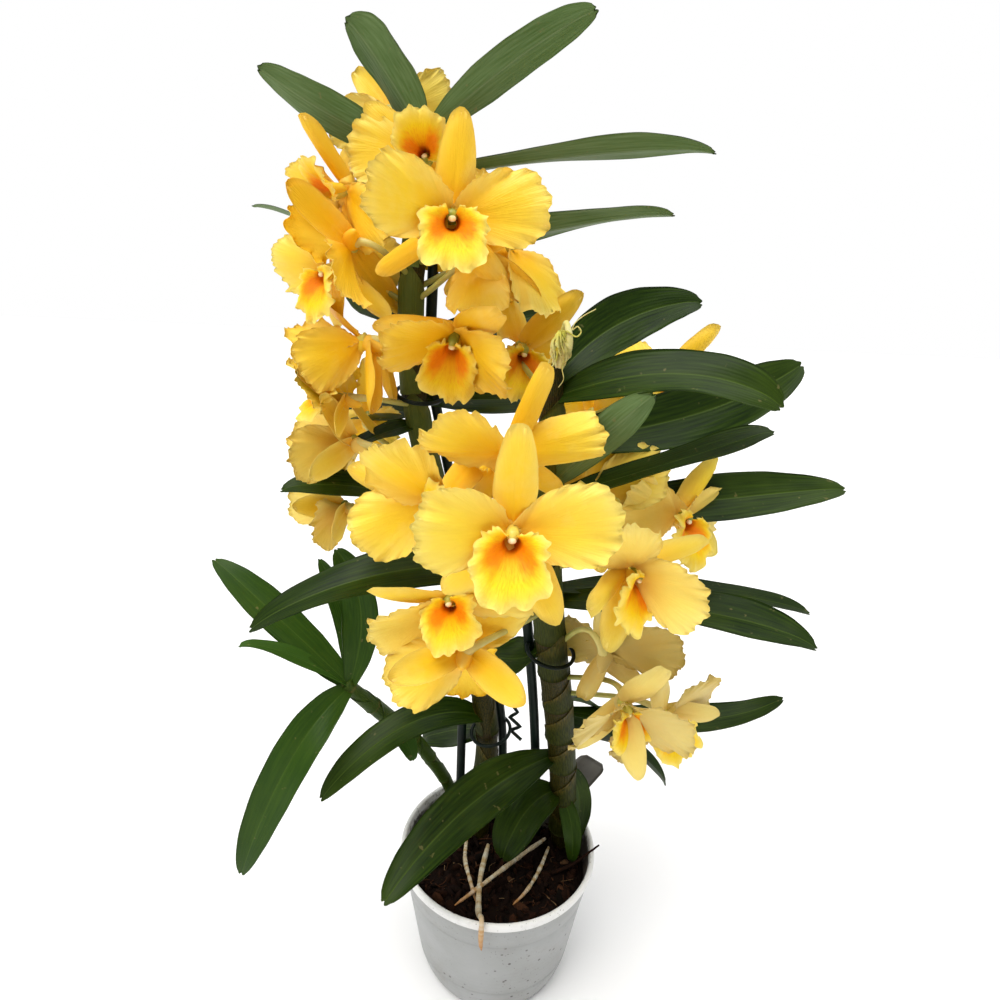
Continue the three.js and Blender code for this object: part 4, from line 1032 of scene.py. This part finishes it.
# Height and radius of the side.
POT_OUTLINE = [[24, 41.5], [25, 42.5], [28, 44.2], [33, 46.4], [39, 48.2], [45, 49.3], [107, 58.8]]
LIP_RADIUS = 60.5
LIP_HEIGHT = 5
WALL = 1.6
FLOOR = 2.6
POT_SIDES = 128
DRAIN_COUNT, DRAIN_RADIUS, DRAIN_CIRCLE, DRAIN_SIDES = 6, 4, 30, 24
# Heights at which the side turns, and how far it stands off the outline there: a groove low down
# and a step above the middle.
POT_SIDE = [[z, 0] for z in (25, 26.5, 28, 30.5, 33, 36, 39, 42, 44)]
POT_SIDE += [[44.6, -0.35], [45.4, -0.35], [46, 0], [60, 0], [75, 0], [90.2, 0], [91, -0.3], [91.8, 0.35],
             [100, 0.4], [RIM_TOP - LIP_HEIGHT - 0.6, 0.3]]
# The rolled lip: how far each point lies inside the lip's radius and under its top.
POT_LIP = [[0.5, LIP_HEIGHT], [0, LIP_HEIGHT - 0.8], [0, 1.4], [0.4, 0.4], [1.2, 0], [2.2, 0.2], [2.8, 1]]
POT_INSIDE = [RIM_TOP - LIP_HEIGHT - 2, 75, 45, 39, 33, 28, UNDERSIDE + FLOOR]


def body_radius(z):
    heights, radii = np.array(POT_OUTLINE, float).T
    return float(np.interp(z, heights, radii))


def make_pot():
    profile = [[40.2, UNDERSIDE], [41.2, UNDERSIDE + 0.3]]
    profile += [[body_radius(z) + off, z] for z, off in POT_SIDE]
    profile += [[LIP_RADIUS - inward, RIM_TOP - below] for inward, below in POT_LIP]
    profile += [[body_radius(z) - WALL, z] for z in POT_INSIDE]
    points = [ring(0, UNDERSIDE, 1)] + [ring(r, z, POT_SIDES) for r, z in profile]
    points += [ring(0, UNDERSIDE + FLOOR, 1)]
    piece = Piece()
    piece.add(np.concatenate(points), closed_rings(len(profile), POT_SIDES), "pot")
    pot = piece.make("grower_pot", ["pot"])
    drill_drains(pot)


def drill_drains(pot):
    holes = Piece()
    for x, y, _ in ring(DRAIN_CIRCLE, 0, 2 * DRAIN_COUNT)[1::2]:
        line = [[x, y, z] for z in (UNDERSIDE - 3, UNDERSIDE, UNDERSIDE + 8)]
        tube(holes, line, DRAIN_RADIUS, DRAIN_SIDES, "pot")
    cutter = bpy.data.objects.new("drains", holes.mesh("drains"))
    scene.collection.objects.link(cutter)
    step = pot.modifiers.new("drain_holes", "BOOLEAN")
    step.operation, step.object, step.solver = "DIFFERENCE", cutter, "EXACT"
    pot.data = bpy.data.meshes.new_from_object(pot.evaluated_get(bpy.context.evaluated_depsgraph_get()))
    pot.modifiers.clear()
    bpy.data.objects.remove(cutter)


make_pot()


# ---- substrate --------------------------------------------------------------------------------
SOIL_TOP = 97
SOIL_SEED = 11
SOIL_RINGS, SOIL_SIDES = 44, 96
SOIL_GAP = 0.4                    # between the substrate and the pot's wall
CHIP_COUNT, FIBRE_COUNT = 620, 90
CHIP_ROWS, CHIP_SIDES = 4, 7
TWIG = [[34, -12, 99], [46, -10, 104], [56, -7, 110.5], [63, -5, 115.5]]
TWIG_RADII = np.linspace(1.3, 0.5, 16)


def soil_height(r, turn):
    waves = 1.6 * np.sin(r * 0.21 + 3 * turn) + 1.2 * np.cos(r * 0.33 - 5 * turn)
    return SOIL_TOP + waves * np.minimum(r / 16, 1)


def soil_bed(piece, wall):
    """The bark as one closed lump: a rough top over a plug that fills the pot."""
    turn = turns(SOIL_SIDES)
    points = [ring(0, SOIL_TOP, 1)]
    for r in wall * np.arange(1, SOIL_RINGS + 1) / SOIL_RINGS:
        z = soil_height(r, turn) - max(r - wall + 3, 0) * 0.6 - 1.0
        z += 0.8 * np.sin(1.9 * r + 11 * turn) * np.cos(1.3 * r - 7 * turn)
        points.append(ring(r, z, SOIL_SIDES))
    low = UNDERSIDE + FLOOR + 0.35
    points.append(ring(wall, SOIL_TOP - 8, SOIL_SIDES))
    points += [ring(body_radius(z) - WALL - SOIL_GAP, z, SOIL_SIDES) for z in (45, 39, 33, 28, low)]
    faces = closed_rings(len(points) - 1, SOIL_SIDES, flip=True)
    piece.add(np.concatenate(points + [ring(0, low, 1)]), faces, "bark", tone=0.25)


def bark_chip(piece, rng, wall):
    r = (wall - 3) * math.sqrt(rng.random())
    turn = 2 * math.pi * rng.random()
    size = rng.uniform(1.2, 4.6) if rng.random() < 0.8 else rng.uniform(4.5, 7.0)
    axes = np.linalg.qr(rng.normal(size=(3, 3)))[0]
    axes = axes * np.array([1, rng.uniform(0.4, 0.8), rng.uniform(0.25, 0.5)])[:, None] * size
    z = float(soil_height(r, turn)) - 0.6 + rng.uniform(-0.6, 0.9)
    r = min(r, wall - size * 0.9)
    centre = [r * math.cos(turn), r * math.sin(turn), z]
    blunt = np.ones((CHIP_ROWS + 1, CHIP_SIDES, 1))
    blunt[1:-1] = rng.uniform(0.72, 1.12, (CHIP_ROWS - 1, CHIP_SIDES, 1))
    tone = float(np.clip(rng.normal(0.45, 0.22), 0, 1))
    ball(piece, centre, axes[[1, 2, 0]], CHIP_ROWS, CHIP_SIDES, "bark", blunt, tone=tone)


def fibre(piece, rng, wall):
    r, turn = (wall - 6) * math.sqrt(rng.random()), 2 * math.pi * rng.random()
    base = np.array([r * math.cos(turn), r * math.sin(turn), float(soil_height(r, turn)) + 0.6])
    way = unit(rng.normal(size=3) * np.array([1, 1, 0.12]))
    reach = rng.uniform(3, 9)
    kink = rng.normal(size=3) * np.array([1.2, 1.2, 0.5])
    ends = [base - way * reach / 2, base + kink, base + way * reach / 2 + [0, 0, 0.4]]
    if max(np.hypot(x, y) for x, y, _ in ends) <= wall - 1:
        thin, tone = rng.uniform(0.16, 0.34), rng.uniform(0.7, 1.0)
        tube(piece, catmull(ends, 7), thin, 5, "bark", tone=tone, along=0.5, across=0.5)


def make_substrate():
    rng = np.random.default_rng(SOIL_SEED)
    piece = Piece()
    wall = body_radius(SOIL_TOP - 4) - WALL - SOIL_GAP
    soil_bed(piece, wall)
    for _ in range(CHIP_COUNT):
        bark_chip(piece, rng, wall)
    for _ in range(FIBRE_COUNT):
        fibre(piece, rng, wall)
    tube(piece, catmull(TWIG, len(TWIG_RADII)), TWIG_RADII, 8, "bark", tone=0.55, along=0.5, across=0.5)
    piece.make("bark_mix", ["substrate"])


make_substrate()


# ---- roots, stakes, clips, label and the withered bloom ----------------------------------------
# Points along each branch of a root.
ROOTS = {
    "root_front": [
        [[-6, 4, 103], [-10, -22, 103], [-10, -46, 105], [-8, -60, 115], [-8, -64.5, 106], [-7.5, -64, 99]],
        [[31, 10, 104], [12, -8, 105], [-10, -28, 103.5], [-24, -40, 102]],
    ],
    "root_left": [[[-20, 6, 104], [-20, -8, 103], [-15, -26, 102], [-12, -34, 99]]],
    "root_right": [[[33, 5, 102], [26, -12, 100.5], [18, -26, 99.5], [10, -34, 97.5]]],
}
ROOT_RADII = {"root_front": [1.7, 1.4], "root_left": [1.3], "root_right": [1.2]}
STAKE_RADIUS = 2.8
STAKES = [
    [[1, 29, 84], [-1, 27, 181], [-20, 25, 268], [-42, 20, 369], [-47, 17, 400], [-46, 14, 460]],
    [[27, 20, 84], [18, 5, 200], [6, -21, 300]],
    [[-26, 26, 84], [-26, 26, 190]],
]
CLIP_WIRE = 1.1                   # radius
# Each clip ring: its middle, its radius, and how far it tilts about X and Y in radians.
CLIPS = [
    [[-52.5, 14.5, 388], 12.4, [0.25, 0.1]],
    [[23, -15, 256], 12.9, [0.2, 0.15]],
    [[-7.5, 22, 176], 12.4, [0.2, -0.2]],
]
ZIGZAG = [[2.6, 27, 196], [9, 22, 190], [4, 24, 185], [11, 20, 181], [5, 23, 176], [12, 19, 172]]
LABEL_WIDTH, LABEL_THICK, LABEL_HEIGHT = 20, 0.9, 80
LABEL_FOOT, LABEL_LEAN = [19, 28.5, 84], 32      # a place, and degrees
LABEL_GRID = (30, 9)              # rows and columns of points
STAKE_STEPS = 60
ROOT_STEPS, ROOT_SIDES = 60, 14
RING_STEPS, RING_SIDES = 72, 12
TOOTH_STEPS = 4                   # points on each straight stretch of the toothed clip


def make_roots():
    w = np.linspace(0, 1, ROOT_STEPS)
    for k, (name, branches) in enumerate(ROOTS.items()):
        piece = Piece()
        for b, places in enumerate(branches):
            radii = ROOT_RADII[name][b] * np.interp(w, [0, 0.12, 0.6, 0.92, 1], [0.6, 1, 1, 0.7, 0.25])
            radii *= 0.95 + 0.1 * np.sin(17 * w + k + b) + 0.07 * np.sin(41 * w + b) + 0.04 * np.sin(83 * w)
            bumps = 0.07 * np.sin(np.arange(ROOT_SIDES) * 1.8 + 31 * w[:, None])
            line = catmull(places, ROOT_STEPS)
            tube(piece, line, radii, ROOT_SIDES, "root", bumps, tone=float(3 * k + b))
        piece.make(f"aerial_{name}", [name])


def make_stakes():
    for k, places in enumerate(STAKES):
        piece = Piece()
        straight = len(places) == 2
        line = np.linspace(*np.array(places), STAKE_STEPS // 2) if straight else catmull(places, STAKE_STEPS)
        radii = np.full(len(line), STAKE_RADIUS, float)
        radii[[0, -2, -1]] *= (0.6, 0.85, 0.45)
        tube(piece, line, radii, 20, "wire")
        piece.make(f"support_{k + 1}", [f"stake_{k + 1}"])


def make_clip_rings():
    section = turns(RING_SIDES)
    faces = []
    for i in range(RING_STEPS):
        here, ahead = i * RING_SIDES, (i + 1) % RING_STEPS * RING_SIDES
        for j in range(RING_SIDES):
            n = (j + 1) % RING_SIDES
            faces.append((here + j, ahead + j, ahead + n, here + n))
    for k, (middle, reach, tilt) in enumerate(CLIPS):
        out, up = reach + CLIP_WIRE * np.cos(section), CLIP_WIRE * np.sin(section)
        points = np.stack([ring(r, z, RING_STEPS) for r, z in zip(out, up)], 1)
        for axis, angle in zip(np.eye(3), tilt):
            points = turned(points, axis, angle)
        piece = Piece()
        piece.add(points + middle, faces, "wire")
        piece.make(f"clip_ring_{k + 1}", [f"clip_{k + 1}"])


def make_clip_comb():
    piece = Piece()
    stretches = [np.linspace(a, b, TOOTH_STEPS + 1)[:-1] for a, b in zip(ZIGZAG, ZIGZAG[1:])]
    tube(piece, np.concatenate(stretches + [ZIGZAG[-1:]]), CLIP_WIRE, 10, "wire")
    piece.make("clip_comb", ["clip_teeth"])


def make_label():
    """A plain card that leans, with rounded upper corners and a pointed foot."""
    rows, columns = LABEL_GRID
    up, v = np.linspace(0, 1, rows)[:, None], np.linspace(-1, 1, columns)
    corner = LABEL_WIDTH / 2 * np.sqrt(1 - 0.6 * (np.maximum(up - 0.93, 0) / 0.07) ** 2)
    x, z = corner * np.minimum(0.35 + 0.65 * up / 0.25, 1) * v, LABEL_HEIGHT * up
    y = 0.5 * np.sin(math.pi * up) * (1 - v ** 2)
    sin, cos = math.sin(math.radians(LABEL_LEAN)), math.cos(math.radians(LABEL_LEAN))
    piece = Piece()
    grid = np.stack([x * cos + z * sin, y, z * cos - x * sin], -1) + LABEL_FOOT
    shell(piece, grid, LABEL_THICK, ("card", "card"))
    piece.make("plant_label_card", ["plant_label"])


make_roots()
make_stakes()
make_clip_rings()
make_clip_comb()
make_label()

# Points along the stalk and body of the dried bloom, and where its strips hang from.
WITHERED = [[13, -50, 411.5], [16, -52, 430], [17, -56, 424], [14, -58, 412]]
WITHERED_HEART = [14, -57, 427]
# Dried threads: points along each, and its radius.
WITHERED_THREADS = [
    [[[16, -57, 427], [20, -59, 425], [21.6, -59.5, 427], [20, -59.5, 429], [18.2, -59, 427.6],
      [18.8, -58.5, 430], [22, -58, 433], [27, -58, 436]], 0.34],
    [[[13, -59, 420], [12, -60, 415], [9.6, -60.5, 411], [8.8, -60, 408]], 0.3],
    [[[16, -58.5, 418], [15, -60, 412], [15.8, -60.5, 408], [14, -60, 404.5]], 0.26],
    [[[12.5, -58, 421], [10, -60, 416], [8.6, -60, 412.5]], 0.24],
]
WITHERED_STRIPS = 11
STRIP_GRID = (24, 7)


def withered_strip(piece, k):
    """One narrow, ragged, twisted strip of a shrivelled tepal."""
    rows, columns = STRIP_GRID
    w, q = np.linspace(0, 1, rows)[:, None], np.linspace(-1, 1, columns)
    turn = 2 * math.pi * k / WITHERED_STRIPS + 0.5 * chance(k, 1)
    reach, wide = 7 + 9 * chance(k, 2), 0.5 + 0.9 * chance(k, 3)
    out = 1.2 + 2.2 * np.sin(2.4 * w) + 0.6 * np.sin(9 * w + k)
    spot = np.stack([out * np.cos(turn + 1.1 * w), out * np.sin(turn + 1.1 * w), -reach * w], -1)
    side = np.stack([-np.sin(turn + 2.6 * w), np.cos(turn + 2.6 * w), 0.3 * np.sin(6 * w + k)], -1)
    half = wide * np.sin(math.pi * (0.2 + 0.78 * w)) ** 0.7 * (1 + 0.35 * np.sin(23 * w + 2 * k + q))
    grid = np.array(WITHERED_HEART) + spot + side * (q * half)[..., None]
    grid[..., 1] -= 0.7 * np.cos(3 * q + 5 * w + k)
    shell(piece, grid, 0.35, ("dry", "dry"), along=np.repeat(w, columns))


def make_withered():
    """A dried flower that hangs folded on its stalk, with shrivelled tepals and loose threads."""
    piece = Piece()
    radii = np.interp(np.linspace(0, 1, 24), [0, 0.5, 0.8, 1], [1.1, 1.2, 2.6, 1.6])
    tube(piece, catmull(WITHERED, len(radii)), radii, 10, "dry")
    for k in range(WITHERED_STRIPS):
        withered_strip(piece, k)
    for places, radius in WITHERED_THREADS:
        tube(piece, catmull(places, 40), np.linspace(radius, 0.6 * radius, 40), 8, "dry")
    piece.make("withered_flower", ["withered_bloom"])


make_withered()


# ---- floor --------------------------------------------------------------------------------------
FLOOR_SPAN = 6
corners = [(x * FLOOR_SPAN, y * FLOOR_SPAN, 0) for x, y in ((-1, -1), (1, -1), (1, 1), (-1, 1))]
mesh = bpy.data.meshes.new("studio_floor")
mesh.from_pydata(corners, [], [(0, 1, 2, 3)])
mesh.materials.append(LOOKS["floor"])
ground = bpy.data.objects.new("studio_floor", mesh)
scene.collection.objects.link(ground)
